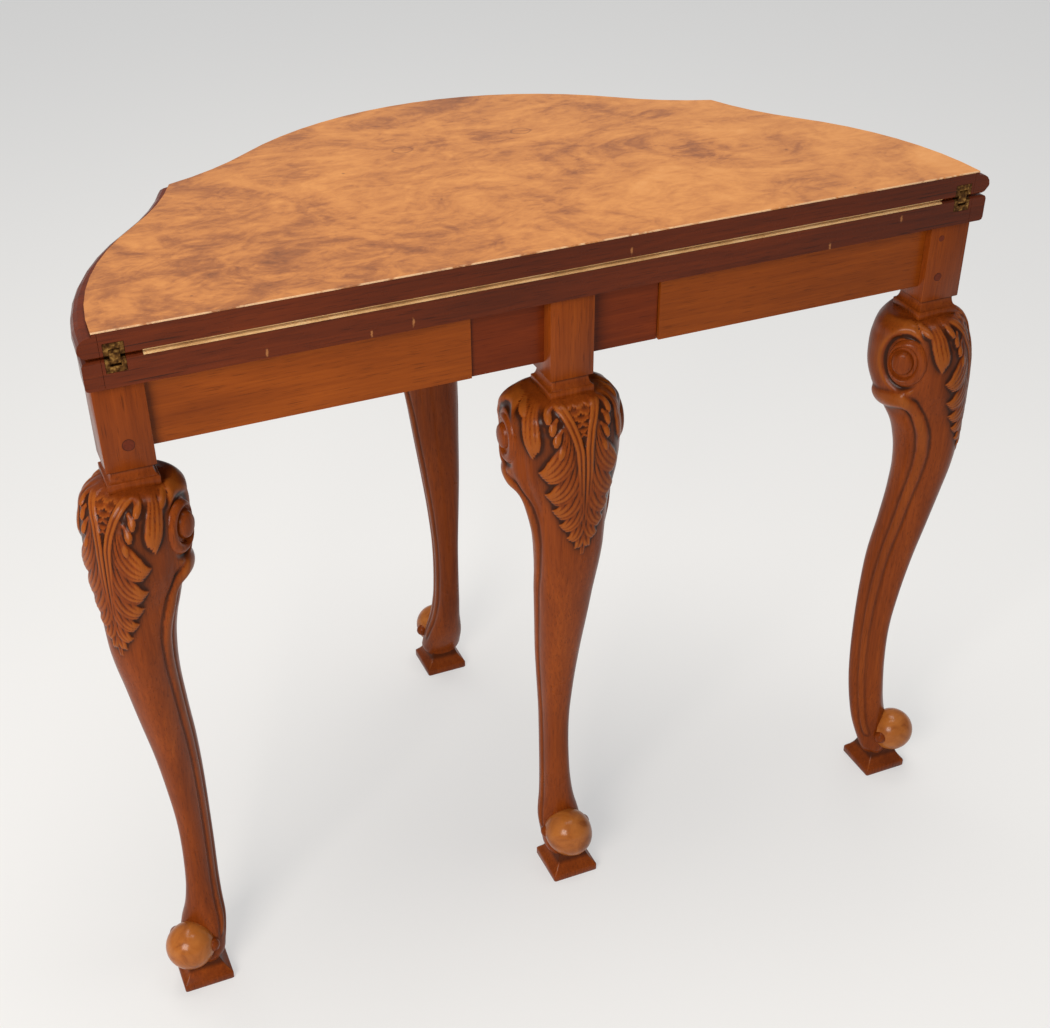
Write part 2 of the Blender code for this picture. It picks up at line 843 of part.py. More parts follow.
def volutes_mesh(frame, width):
    """The two turned discs on the sides of the knee, each a ring round a raised boss."""
    bm = bmesh.new()
    rise = volute_face - volute_root
    for side in (-1, 1):
        rings = []
        for radius, height in volute_ring_shares:
            ring = []
            for i in range(volute_steps):
                angle = 2 * math.pi * i / volute_steps
                forward = volute_forward + radius * volute_reach * math.cos(angle)
                level = volute_height + radius * volute_rise * math.sin(angle)
                out = side * width * (volute_root + rise * height)
                ring.append(frame @ Vector((forward, out, level)))
            rings.append(ring)
        loft_mesh(rings, bm)
    return bm


def bead_mesh(frame, side, width):
    """The rounded bead down the middle of a side, from the volute to the eye beside the ball."""
    route = [
        Vector((forward * leg_breadth, side * width * sideways * leg_breadth, height * collar_bottom))
        for height, forward, sideways in bead_route_shares
    ]
    rings = []
    for i, place in enumerate(route):
        along = route[min(i + 1, len(route) - 1)] - route[max(i - 1, 0)]
        across = along.cross(Vector((0, 1, 0))).normalized()
        ring = []
        for step in range(bead_sides):
            angle = 2 * math.pi * step / bead_sides
            shift = across * math.cos(angle) + Vector((0, 1, 0)) * math.sin(angle)
            ring.append(frame @ (place + shift * bead_radius))
        rings.append(ring)
    return loft_mesh(rings)


def eyes_mesh(frame):
    """The small round eyes that end the beads beside the ball."""
    bm = bmesh.new()
    height, forward, sideways = eye_place_shares
    for side in (-1, 1):
        place = Vector((forward * leg_breadth, side * sideways * leg_breadth, height * collar_bottom))
        bmesh.ops.create_icosphere(
            bm, subdivisions=1, radius=eye_radius, matrix=Matrix.Translation(frame @ place)
        )
    return bm


def ball_mesh(frame):
    bm = bmesh.new()
    centre = frame @ Vector((ball_forward, 0, ball_height))
    bmesh.ops.create_uvsphere(
        bm,
        u_segments=ball_segments,
        v_segments=ball_rings,
        radius=ball_radius,
        matrix=Matrix.Translation(centre),
    )
    return bm


def pad_mesh(frame):
    """Square pad that flares out below the scroll in a hollow curve."""
    centre = (frame @ Vector((pad_forward, 0, 0))).to_2d()
    arc = quarter_arc(
        (pad_side, pad_rise), (pad_neck_side - pad_side, pad_edge - pad_rise), 1, 0, pad_steps
    )
    rings = [(0, pad_side - 2 * pad_edge_round), (pad_edge_round, pad_side)]
    rings += [(height, side) for side, height in arc]
    return loft_mesh([square_ring(centre, side, height) for height, side in rings])


def leg(name, centre, facing, top, body, width, *cutters_for_block):
    """One carved leg in a single piece with its block."""
    frame = leg_frame(centre, facing)
    piece = solid(name, block_mesh(centre, top), walnut, body)
    join(
        piece,
        tool(f"{name} body", leg_body_mesh(frame, width), body),
        tool(f"{name} volutes", volutes_mesh(frame, width), body),
        tool(f"{name} left bead", bead_mesh(frame, 1, width), body),
        tool(f"{name} right bead", bead_mesh(frame, -1, width), body),
        tool(f"{name} ball", ball_mesh(frame), body),
        tool(f"{name} eyes", eyes_mesh(frame), body),
        tool(f"{name} pad", pad_mesh(frame), body),
    )
    for number, (low, high) in enumerate(cutters_for_block):
        cut(piece, tool(f"{name} mortise {number}", box_mesh(*grown(low, high)), body))
    return piece


def build_frame():
    rail_tenons = build_rear_rails()
    frieze_tenons = build_friezes()
    top = rail_top - glue
    legs = {}
    for side_name, side in (("left", -1), ("right", 1)):
        _, low, high = rail_tenons[side]
        facing = math.radians(-90 + side * 45)
        centre = (side * rear_block_reach, rear_block_centre)
        mortises = ((low, high), frieze_tenons[side, False])
        name = f"leg_rear_{side_name}"
        legs[side] = leg(name, centre, facing, top, table, corner_leg_width_share, *mortises)
    front_mortises = (frieze_tenons[-1, True], frieze_tenons[1, True])
    centre = (0, front_block_centre)
    leg("leg_front", centre, math.radians(90), top, table, middle_leg_width_share, *front_mortises)
    peg("peg_left", -1, peg_left_place, peg_left_radius, rail_tenons[-1][0], legs[-1])
    peg("peg_right_lower", 1, peg_right_lower_place, peg_right_lower_radius, rail_tenons[1][0], legs[1])
    peg("peg_right_upper", 1, peg_right_upper_place, peg_right_upper_radius, rail_tenons[1][0], legs[1])


def guide_front(x):
    """Where a guide's end meets the bowed inner face of the front frieze."""
    radius = lobe_radius - frieze_inset - frieze_thickness - guide_end_play
    return lobe_centre + math.sqrt(radius**2 - x**2)


def build_guides():
    """Fixed guides of the slide, the runners on them and the stop under the lower leaf."""
    inner, outer = slide_opening, slide_opening + guide_thickness
    top = rail_top - glue
    start = rail_back + glue
    for side_name, side in (("left", -1), ("right", 1)):
        plan = ((inner, start), (outer, start), (outer, guide_front(outer)), (inner, guide_front(inner)))
        points = [(side * x, y) for x, y in plan]
        solid(f"slide_guide_{side_name}", prism_mesh(points, top - guide_height, top), pine, table)
        xs = sorted((side * (inner - runner_depth), side * (inner - glue)))
        half = runner_height / 2
        low = (xs[0], slide_back + glue, runner_middle - half)
        high = (xs[1], guide_front(inner), runner_middle + half)
        solid(f"slide_runner_{side_name}", box_mesh(low, high), walnut, table)
    block = ranged_box(0, stop_width / 2, stop_back - stop_thickness, stop_back, top - stop_drop, top)
    solid("slide_stop", block, pine, table)


def build_slide():
    """Slide board, arms, tie bar and the leg that they carry."""
    low = (-slide_half_width, slide_face, rail_bottom)
    high = (slide_half_width, slide_back, slide_top)
    board = solid("slide_board", box_mesh(low, high), slide_walnut, slide_body)
    slot_top = (block_side, slide_back, slide_top + overrun)
    slot_foot = (-block_side, slide_face, rail_bottom)
    leg(
        "leg_pull_out",
        (0, slide_leg_centre),
        math.radians(-90),
        slide_top,
        slide_body,
        middle_leg_width_share,
        (slot_foot, slot_top),
    )
    tie_top = slide_top - (arm_height - tie_height) / 2
    tie_low = (-arm_inner - housing, tie_face, tie_top - tie_height)
    tie_high = (arm_inner + housing, arm_end, tie_top)
    solid("slide_tie", box_mesh(tie_low, tie_high), walnut, slide_body)
    tie_past = (tie_high[0], arm_end + overrun, tie_top)
    tie_housing = tool("tie housing", box_mesh(*grown(tie_low, tie_past)), slide_body)
    for side_name, side in (("left", -1), ("right", 1)):
        xs = sorted((side * arm_inner, side * arm_outer))
        start = slide_back - housing
        arm_low = (xs[0], start, arm_bottom)
        arm_high = (xs[1], arm_end, slide_top)
        arm = solid(f"slide_arm_{side_name}", box_mesh(arm_low, arm_high), walnut, slide_body)
        cut(board, tool(f"arm housing {side_name}", box_mesh(*grown(arm_low, arm_high)), slide_body))
        groove_xs = sorted((side * (slide_opening - runner_depth - running_fit), side * (arm_outer + overrun)))
        half = runner_height / 2 + runner_play
        groove_low = (groove_xs[0], start - overrun, runner_middle - half)
        groove_high = (groove_xs[1], arm_end + overrun, runner_middle + half)
        cut(arm, tool(f"groove {side_name}", box_mesh(groove_low, groove_high), slide_body), tie_housing)


clear_scene()
parts = new_collection("card table")
cutters = new_collection("cutters")

walnut = material("walnut", (0.19, 0.065, 0.022), 0.38)
edge_walnut = material("dark polished walnut", (0.11, 0.028, 0.011), 0.25)
slide_walnut = material("red brown walnut", (0.17, 0.048, 0.017), 0.35)
burr = material("burr walnut veneer", (0.42, 0.19, 0.055), 0.22)
pine = material("pine", (0.42, 0.27, 0.13), 0.6)
cloth = material("lining", (0.46, 0.38, 0.22), 0.9)
brass = material("brass", (0.44, 0.30, 0.12), 0.35, 1.0)

table = axis_empty("table", (0, -footprint_middle, 0))
link_body = axis_empty("lower pin axis", (0, hinge_pin_inset, lower_pin_height), table)
upper_body = axis_empty("upper pin axis", (0, hinge_pin_inset, upper_pin_height), table)
slide_body = axis_empty("slide", (0, slide_leg_centre, rail_bottom), table)

build_top()
build_frame()
build_guides()
build_slide()
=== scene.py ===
# %% [markdown]
# A walnut card table whose top folds in half. The table stands with its flat rear edge
# towards the camera, so the top, both link hinges, the pull-out leg and the carved knees show.
# The solids of the table are already packed. This lesson gives them their finish, and puts
# finely carved legs in place of the plain ones.

import functools
import math

import bmesh
import bpy
import numpy as np
from mathutils import Matrix, Vector


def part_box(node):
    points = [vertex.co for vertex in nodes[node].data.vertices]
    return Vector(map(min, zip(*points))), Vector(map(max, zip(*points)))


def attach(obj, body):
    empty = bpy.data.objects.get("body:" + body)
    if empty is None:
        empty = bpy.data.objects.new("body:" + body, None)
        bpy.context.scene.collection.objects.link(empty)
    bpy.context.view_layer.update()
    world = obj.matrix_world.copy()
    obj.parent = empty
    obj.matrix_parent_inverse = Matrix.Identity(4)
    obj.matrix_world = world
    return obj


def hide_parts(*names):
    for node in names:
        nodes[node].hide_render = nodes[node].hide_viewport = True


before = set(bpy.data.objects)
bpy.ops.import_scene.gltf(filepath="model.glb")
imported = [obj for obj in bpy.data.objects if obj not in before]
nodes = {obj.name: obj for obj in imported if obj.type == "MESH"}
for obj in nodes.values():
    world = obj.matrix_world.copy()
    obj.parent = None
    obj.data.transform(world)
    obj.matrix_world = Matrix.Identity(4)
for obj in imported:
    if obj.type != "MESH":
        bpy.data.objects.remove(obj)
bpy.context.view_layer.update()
print("pieces in the packed table:", len(nodes))

# %% [markdown]
# Every finish here is a tree of shader nodes. Written out one node at a time, such a tree is
# hard to read. A small class that wraps an output socket lets plain arithmetic add Math nodes,
# and one method adds every other kind of node.

# %% Shader sockets that do arithmetic


class Value:
    """An output socket of a material, usable in arithmetic."""

    def __init__(self, tree, socket):
        self.tree = tree
        self.socket = socket

    def math(self, operation, *others):
        """The result of a Math node whose first input is this value."""
        node = self.tree.nodes.new("ShaderNodeMath")
        node.operation = operation
        for slot, item in zip(node.inputs, (self, *others)):
            plug(self.tree, slot, item)
        return Value(self.tree, node.outputs[0])

    def __add__(self, other):
        return self.math("ADD", other)

    def __sub__(self, other):
        return self.math("SUBTRACT", other)

    def __mul__(self, other):
        return self.math("MULTIPLY", other)


def plug(tree, slot, item):
    """Link a socket to an input, or set the input's value."""
    if isinstance(item, Value):
        tree.links.new(item.socket, slot)
    elif isinstance(item, bpy.types.NodeSocket):
        tree.links.new(item, slot)
    elif isinstance(item, (tuple, list)) and slot.type == "RGBA" and len(item) == 3:
        slot.default_value = (*item, 1.0)
    else:
        slot.default_value = item


class Finish:
    """A material with its Principled shader, and one method that adds a node."""

    def __init__(self, name):
        self.material = bpy.data.materials.new(name)
        self.material.use_nodes = True
        self.tree = self.material.node_tree
        self.shader = self.tree.nodes["Principled BSDF"]
        self.place = self.node("ShaderNodeTexCoord")["Object"]

    def node(self, kind, settings=None, **values):
        """Add a node of any kind, with its settings and the values of its inputs."""
        made = self.tree.nodes.new(kind)
        for name, setting in (settings or {}).items():
            if name == "stops":
                set_ramp(made.color_ramp, setting)
            else:
                setattr(made, name, setting)
        for name, item in values.items():
            plug(self.tree, find_input(made, name), item)
        return Outputs(self.tree, made)

    def set(self, **values):
        """Set inputs of the Principled shader."""
        for name, item in values.items():
            plug(self.tree, find_input(self.shader, name), item)


class Outputs:
    """A node whose outputs are asked for by name."""

    def __init__(self, tree, node):
        self.tree = tree
        self.bl = node

    def __getitem__(self, name):
        return Value(self.tree, self.bl.outputs[name])


def find_input(node, name):
    """The input of that name, written with underscores for spaces, such as Base_Color.

    input_0, input_1 and so on give an input by its place. A Mix node has inputs of the same name
    for every kind of value, and only those of its own kind are enabled.
    """
    if node.bl_idname == "ShaderNodeMix":
        return next(slot for slot in node.inputs if slot.name == name and slot.enabled)
    if name.startswith("input_"):
        return node.inputs[int(name[6:])]
    return node.inputs[name.replace("_", " ")]


def set_ramp(ramp, stops):
    """Colours at their places along a ramp."""
    while len(ramp.elements) > 1:
        ramp.elements.remove(ramp.elements[-1])
    for i, (at, colour) in enumerate(stops):
        element = ramp.elements[0] if i == 0 else ramp.elements.new(at)
        element.position = at
        element.color = (*colour, 1.0)


def srgb(red, green, blue):
    """A colour as eight-bit screen values, made linear."""
    return tuple(
        c / 12.92 if c <= 0.04045 else ((c + 0.055) / 1.055) ** 2.4
        for c in (red / 255, green / 255, blue / 255)
    )


print("helpers for finishes are ready")


# %% Patterns that every wood shares
# scales of the noise, in turns per metre
BAND_SCALE = 42
FIBRE_SCALE = 420
PORE_SCALE = 1300
SMUDGE_SCALE = 24
# scales along the grain, where the patterns are drawn out
BAND_STRETCH = 0.10
FIBRE_STRETCH = 0.035


def noise(finish, place, scale, detail=3.0, rough=0.5, distort=0.0):
    """Cloudy values round 0.5."""
    made = finish.node(
        "ShaderNodeTexNoise", Vector=place, Scale=scale, Detail=detail, Roughness=rough, Distortion=distort
    )
    return made["Fac"]


def stretch(finish, place, scale, turn=(0, 0, 0), shift=(0, 0, 0)):
    """Coordinates scaled, turned and moved."""
    made = finish.node("ShaderNodeMapping", Vector=place, Location=shift, Rotation=turn, Scale=scale)
    return made["Vector"]


def span(finish, value, low, high, start=0.0, end=1.0):
    """The value's way from low to high, made into a way from start to end, and held there."""
    limits = {"input_1": low, "input_2": high, "input_3": start, "input_4": end}
    return finish.node("ShaderNodeMapRange", {"clamp": True}, input_0=value, **limits)["Result"]


def ramp(finish, value, stops):
    """A colour picked from a ramp."""
    return finish.node("ShaderNodeValToRGB", {"stops": stops}, Fac=value)["Color"]


def blend(finish, share, first, second):
    """One colour laid over another. share is how much of the second shows."""
    made = finish.node("ShaderNodeMix", {"data_type": "RGBA"}, Factor=share, A=first, B=second)
    return Value(finish.tree, next(s for s in made.bl.outputs if s.type == "RGBA" and s.enabled))


def bump(finish, height, distance, strength):
    """A normal that makes the surface look rough, by so many metres."""
    return finish.node("ShaderNodeBump", Height=height, Distance=distance, Strength=strength)["Normal"]


def away_from(finish, centre, reach):
    """How far each point lies from a place, where 1 is the given reach along each axis."""
    shift = [-c / r for c, r in zip(centre, reach)]
    place = stretch(finish, finish.place, [1 / r for r in reach], shift=shift)
    return finish.node("ShaderNodeVectorMath", {"operation": "LENGTH"}, input_0=place)["Value"]


def own_colour(finish):
    """The colour that a finish has so far, to be changed further."""
    return Value(finish.tree, finish.shader.inputs["Base Color"].links[0].from_socket)


def wood(name, along, tones, roughness, figure=1.0, seed=0.0):
    """Straight-grained wood.

    along is 0, 1 or 2: the axis that the grain runs on. tones are its light, middle and dark
    colour, figure is how much its pores show, and seed moves the pattern.
    """
    finish = Finish(name)
    light, middle, dark = tones
    slow = [1.0, 1.0, 1.0]
    slow[along] = BAND_STRETCH
    fine = [1.0, 1.0, 1.0]
    fine[along] = FIBRE_STRETCH
    shift = (seed, seed * 1.7, seed * 0.6)
    wander = noise(finish, stretch(finish, finish.place, (3, 3, 3), shift=shift), 1.0, 2.0)
    bands = noise(finish, stretch(finish, finish.place, slow, shift=shift), BAND_SCALE, 3.0, 0.55, 0.6)
    fibres = noise(finish, stretch(finish, finish.place, fine, shift=shift), FIBRE_SCALE, 2.0, 0.6)
    pores = noise(finish, stretch(finish, finish.place, fine, shift=shift), PORE_SCALE, 1.0, 0.5)
    tone = bands * 0.44 + fibres * 0.30 + wander * 0.34 - 0.04
    colour = ramp(finish, tone, ((0.30, dark), (0.52, middle), (0.72, light)))
    pore = span(finish, pores, 0.60, 0.72)
    colour = blend(finish, pore * 0.60 * figure, colour, tuple(0.45 * c for c in dark))
    smudge = noise(finish, finish.place, SMUDGE_SCALE, 4.0, 0.6)
    finish.set(
        Base_Color=colour,
        Roughness=span(finish, smudge, 0.3, 0.7, roughness - 0.05, roughness + 0.07),
        Normal=bump(finish, pores * 0.5 + fibres * 0.5, 0.00012, 0.5),
        Coat_Weight=0.03,
        Coat_Roughness=0.20,
        Specular_IOR_Level=0.13,
    )
    return finish


# %% The woods of the table
# light, middle and dark
RAIL_TONES = (srgb(158, 77, 18), srgb(138, 64, 13), srgb(110, 47, 9))
BLOCK_TONES = (srgb(152, 71, 18), srgb(132, 58, 13), srgb(104, 42, 9))
SLIDE_TONES = (srgb(128, 52, 14), srgb(108, 41, 9), srgb(82, 29, 7))
DEEP_TONES = (srgb(150, 78, 36), srgb(122, 60, 26), srgb(86, 38, 16))
PINE_TONES = (srgb(214, 178, 128), srgb(200, 160, 108), srgb(172, 130, 80))
rail_wood = wood("walnut along the hinge line", 0, RAIL_TONES, 0.36)
block_wood = wood("walnut upright", 2, BLOCK_TONES, 0.34, seed=3.0)
slide_wood = wood("red walnut of the slide", 0, SLIDE_TONES, 0.34, seed=5.0)
deep_wood = wood("walnut across", 1, DEEP_TONES, 0.45, seed=9.0)
pine_wood = wood("pine", 1, PINE_TONES, 0.6, figure=0.2, seed=11.0)
print("woods made")


# %% [markdown]
# The boards of the two leaves are lipped with dark, polished walnut. At the rear it has been
# knocked and scored: there are pale nicks near its edges, and beside each hinge the line that the
# joiner scratched with a gauge to mark out the hinge's seat.

# %% The dark lipping and its wear
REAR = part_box("lower_leaf_core")[0].y
EDGE_TONES = (srgb(116, 47, 13), srgb(93, 35, 9), srgb(66, 24, 7))
# places along and up the rear, and half the size of a nick
NICKS = (
    (-0.277, 0.6958),
    (-0.1875, 0.6946),
    (-0.1506, 0.6973),
    (0.0515, 0.7253),
    (0.2551, 0.6939),
    (0.3305, 0.7072),
)
NICK_REACH = (0.0013, 0.004, 0.0042)
# middle of each gauge line, out from the table's middle, and the two heights
GAUGE_LINE_OUT = 0.368
GAUGE_LINE_HEIGHTS = (0.7243, 0.6938)


def worn_edge_wood():
    """Dark walnut with pale nicks and scratched gauge lines on its rear."""
    finish = wood("dark polished walnut", 0, EDGE_TONES, 0.26, seed=7.0)
    colour = own_colour(finish)
    rough = noise(finish, finish.place, 520, 3.0, 0.6)
    nick = None
    for x, z in NICKS:
        spot = span(finish, away_from(finish, (x, REAR, z), NICK_REACH) + rough * 2.2, 2.1, 1.5)
        nick = spot if nick is None else nick.math("MAXIMUM", spot)
    colour = blend(finish, nick * 0.62, colour, srgb(186, 124, 72))
    apart = finish.node("ShaderNodeSeparateXYZ", Vector=finish.place)
    from_middle = (apart["X"].math("ABSOLUTE") - GAUGE_LINE_OUT).math("ABSOLUTE")
    beside_hinge = span(finish, from_middle, 0.028, 0.018)
    rear_face = span(finish, apart["Y"], REAR + 0.0008, REAR + 0.0004)
    for level in GAUGE_LINE_HEIGHTS:
        line = span(finish, (apart["Z"] - level + rough * 0.0004).math("ABSOLUTE"), 0.0006, 0.0002)
        colour = blend(finish, line * beside_hinge * rear_face * 0.8, colour, srgb(34, 15, 7))
    finish.set(Base_Color=colour, Coat_Weight=0.10)
    return finish


edge_wood = worn_edge_wood()
print("nicks in the lipping:", len(NICKS))

# %% [markdown]
# The top is veneered in figured walnut. On the real table its clouds, swirls and small eyes come
# from wood that grew round knots. Layers of noise of different sizes, bent by one another, give
# such a figure, and one dark cloud and two small rings are put where the real top has them.

# %% The figured veneer
VENEER_LOW, VENEER_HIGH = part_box("upper_leaf_veneer")
TOP = 0.74
# middle and half the size of the dark cloud and of the two rings
CLOUD_PLACE, CLOUD_REACH = (0.212, -0.050), (0.050, 0.032, 1)
RING_PLACES, RING_REACH = ((-0.0579, 0.0739), (0.068, 0.0757)), (0.0105, 0.0085, 1)
VENEER_TONES = (
    (0.34, srgb(122, 68, 31)),
    (0.43, srgb(156, 91, 41)),
    (0.52, srgb(188, 117, 54)),
    (0.62, srgb(206, 134, 65)),
    (0.75, srgb(217, 148, 80)),
)


def burr_wood():
    """Clouded veneer with eyes, painted a little paler to the right as a painted sheen, and worn along its
    rear arris.
    """
    finish = Finish("figured walnut veneer")
    place = finish.place
    drift = stretch(finish, place, (1.0, 1.3, 1.0), turn=(0, 0, 0.5))
    cloud = noise(finish, drift, 8, 5.0, 0.62, 1.3)
    swirl = noise(finish, stretch(finish, place, (1.2, 2.0, 1.0), turn=(0, 0, -0.35)), 17, 6.0, 0.62, 2.6)
    curl = noise(finish, stretch(finish, place, (1.0, 1.7, 1.0), turn=(0, 0, 0.9)), 48, 4.0, 0.62, 2.0)
    fleck = noise(finish, stretch(finish, place, (1.0, 2.2, 1.0), turn=(0, 0, 0.3)), 300, 2.0, 0.6)
    apart = finish.node("ShaderNodeSeparateXYZ", Vector=place)
    # painted sheen: the veneer is made paler towards the right
    painted_sheen = apart["X"] * 0.16
    tone = cloud * 0.60 + swirl * 0.32 + curl * 0.16 + fleck * 0.06 + painted_sheen - 0.05
    patch = span(finish, away_from(finish, (*CLOUD_PLACE, TOP), CLOUD_REACH) + swirl * 0.9, 1.35, 0.75)
    tone = tone - patch * 0.10
    colour = ramp(finish, tone, VENEER_TONES)
    for ring_place in RING_PLACES:
        ring = away_from(finish, (*ring_place, TOP), RING_REACH) + curl * 0.5
        line = span(finish, (ring - 1.2).math("ABSOLUTE"), 0.16, 0.03)
        colour = blend(finish, line * 0.45, colour, srgb(104, 52, 22))
    eyes = finish.node("ShaderNodeTexVoronoi", Vector=place, Scale=17.0)["Distance"]
    colour = blend(finish, span(finish, eyes + fleck * 0.03, 0.050, 0.028) * 0.6, colour, srgb(92, 46, 20))
    back = VENEER_LOW.y
    arris = span(finish, apart["Y"], back + 0.0011, back + 0.0005)
    colour = blend(finish, arris * span(finish, swirl, 0.40, 0.50) * 0.7, colour, srgb(236, 196, 150))
    finish.set(
        Base_Color=colour,
        Roughness=span(finish, cloud, 0.3, 0.7, 0.30, 0.36),
        Normal=bump(finish, fleck, 0.00006, 0.4),
        Coat_Weight=0.32,
        Coat_Roughness=0.16,
    )
    return finish


burr = burr_wood()
print("veneer is", round((VENEER_HIGH.x - VENEER_LOW.x) * 1000), "mm long")

# %% Brass, lining and pegs
PARTING = (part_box("lower_leaf_lining")[1].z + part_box("upper_leaf_lining")[0].z) / 2
BRASS_TONES = ((0.36, srgb(58, 36, 20)), (0.54, srgb(112, 76, 38)), (0.72, srgb(182, 138, 74)))
LINING_TONES = ((0.35, srgb(172, 126, 78)), (0.5, srgb(210, 166, 112)), (0.68, srgb(232, 200, 152)))
PEG_TONES = (srgb(128, 54, 26), srgb(108, 43, 20), srgb(78, 29, 14))
CARVED_TONES = (srgb(152, 73, 20), srgb(128, 57, 15), srgb(98, 40, 10))
# values of the mesh attribute recess on a ball, which is painted lighter partly for wear and partly for
# the light on it, and on a corner that is painted light, partly for wear and partly as a painted highlight
BALL_RECESS = -9.0
CORNER_RECESS = -0.8


def brass_metal():
    """Brass gone brown, rubbed bright in a few places."""
    finish = Finish("aged brass")
    stain = noise(finish, finish.place, 320, 4.0, 0.6)
    finish.set(
        Base_Color=ramp(finish, stain, BRASS_TONES),
        Metallic=1.0,
        Roughness=span(finish, stain, 0.3, 0.7, 0.60, 0.36),
        Normal=bump(finish, stain, 0.0001, 0.4),
    )
    return finish


def lining_cloth():
    """Straw-coloured cloth, with grime in the joint between the two leaves."""
    finish = Finish("straw lining")
    weave = noise(finish, finish.place, 1500, 2.0)
    worn = noise(finish, finish.place, 30, 3.0)
    tone = weave * 0.5 + worn * 0.5
    colour = ramp(finish, tone, LINING_TONES)
    height = finish.node("ShaderNodeSeparateXYZ", Vector=finish.place)["Z"]
    joint = span(finish, (height - PARTING + worn * 0.0004 - 0.0002).math("ABSOLUTE"), 0.0006, 0.0003)
    colour = blend(finish, joint * 0.8, colour, srgb(74, 40, 20))
    finish.set(Base_Color=colour, Roughness=0.9, Specular_IOR_Level=0.2)
    finish.set(Normal=bump(finish, weave, 0.0002, 0.6))
    return finish


def peg_wood(name):
    """End grain, darker and redder than the block round it, with a dark rim of old glue."""
    low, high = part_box(name)
    finish = wood("end grain of " + name, 1, PEG_TONES, 0.36, seed=17.0)
    reach = (high.x - low.x) / 2
    rim = away_from(finish, ((low.x + high.x) / 2, low.y, (low.z + high.z) / 2), (reach, 1, reach))
    glue = span(finish, rim, 0.82, 0.97) * 0.8
    finish.set(Base_Color=blend(finish, glue, own_colour(finish), srgb(44, 18, 9)))
    return finish


def carved_finish():
    """Upright walnut, with painted shade in the carving's hollows, and its ridges and balls painted
    lighter, partly for wear and partly as painted light.

    The mesh says where, by its attribute recess: over 0 in a hollow, under 0 on a ridge, and BALL_RECESS
    on the balls, which are painted lightest of all, partly for wear and partly for the light that falls on
    them.
    """
    finish = wood("carved walnut", 2, CARVED_TONES, 0.30, seed=13.0)
    recess = finish.node("ShaderNodeAttribute", {"attribute_name": "recess"})["Fac"]
    # painted shade: the hollows of the carving are darkened
    painted_shade = span(finish, recess, 0.05, 1.20)
    ball = span(finish, recess * -1.0, 7.5, 8.9)
    # the ridges are painted lighter: partly wear, partly a painted highlight
    worn = span(finish, recess * -1.0, 0.15, 1.0)
    colour = blend(finish, painted_shade * 0.90, own_colour(finish), srgb(38, 17, 8))
    colour = blend(finish, worn * 0.40, colour, srgb(172, 96, 34))
    clouds = noise(finish, finish.place, 46, 4.0, 0.6, 0.8)
    # the balls are painted lighter and yellower, with darker mottles: partly wear, partly painted light
    colour = blend(finish, ball * span(finish, clouds, 0.34, 0.66, 0.15, 0.60), colour, srgb(190, 118, 54))
    colour = blend(finish, ball * span(finish, clouds, 0.46, 0.30) * 0.30, colour, srgb(80, 38, 16))
    finish.set(Base_Color=colour, Specular_IOR_Level=0.08)
    finish.set(Coat_Weight=ball * 0.25 + 0.10, Coat_Roughness=0.18)
    return finish


carved_wood = carved_finish()
brass = brass_metal()
cloth = lining_cloth()


def dress(finish, *names):
    """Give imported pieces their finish."""
    for name in names:
        slots = nodes[name].data.materials
        if not slots:
            slots.append(finish.material)
        for i in range(len(slots)):
            slots[i] = finish.material


def named(*starts):
    """The nodes whose names start in one of these ways."""
    return [name for name in nodes if name.startswith(starts)]


dress(burr, "upper_leaf_veneer")
dress(edge_wood, "upper_leaf_core", "lower_leaf_core", *named("upper_moulding", "lower_moulding"))
dress(cloth, "upper_leaf_lining", "lower_leaf_lining")
dress(brass, *named("hinge_"))
dress(rail_wood, "slide_tie", *named("rear_rail", "front_frieze"))
dress(deep_wood, *named("side_frieze", "slide_arm", "slide_runner"))
dress(pine_wood, *named("corner_", "glue_", "slide_guide", "slide_stop"))
dress(slide_wood, "slide_board")
dress(block_wood, *named("leg_"))
for name in named("peg_"):
    dress(peg_wood(name), name)
print("packed pieces dressed")

# %% [markdown]
# Each leg of the real table is one stick of walnut, sawn to an S in two directions and then
# carved: a knee with a leaf, two volutes and a pair of beads, and a foot with a ball on a pad.
# The shape could be sculpted by hand, or built from curves. Here a flat sheet of faces is
# wrapped round the leg, and a height for the carving is added to every point of it, because the
# height can then be written down leaf by leaf and every leg gets the same pattern.

# %% The leg's outline
COLLAR_BOTTOM = 0.5904
BREADTH = 0.100
# points round a section
ROUND_STEPS = 720
# every leg has a width, a factor on its half widths; that of the front leg and of the
# pull-out leg is over this
BROAD = 0.9
# levels between which the back of a broad leg's knee is squarer, and by how much
SQUARE_LEVELS, SQUARE_MORE = (0.485, 0.515, 0.560, 0.582), 0.45
# levels between the foot and the knee at which that factor changes, and its value at the foot
WIDTH_LEVELS, FOOT_WIDTH = (0.07, 0.115, 0.21, 0.29, 0.39, 0.47), 0.96

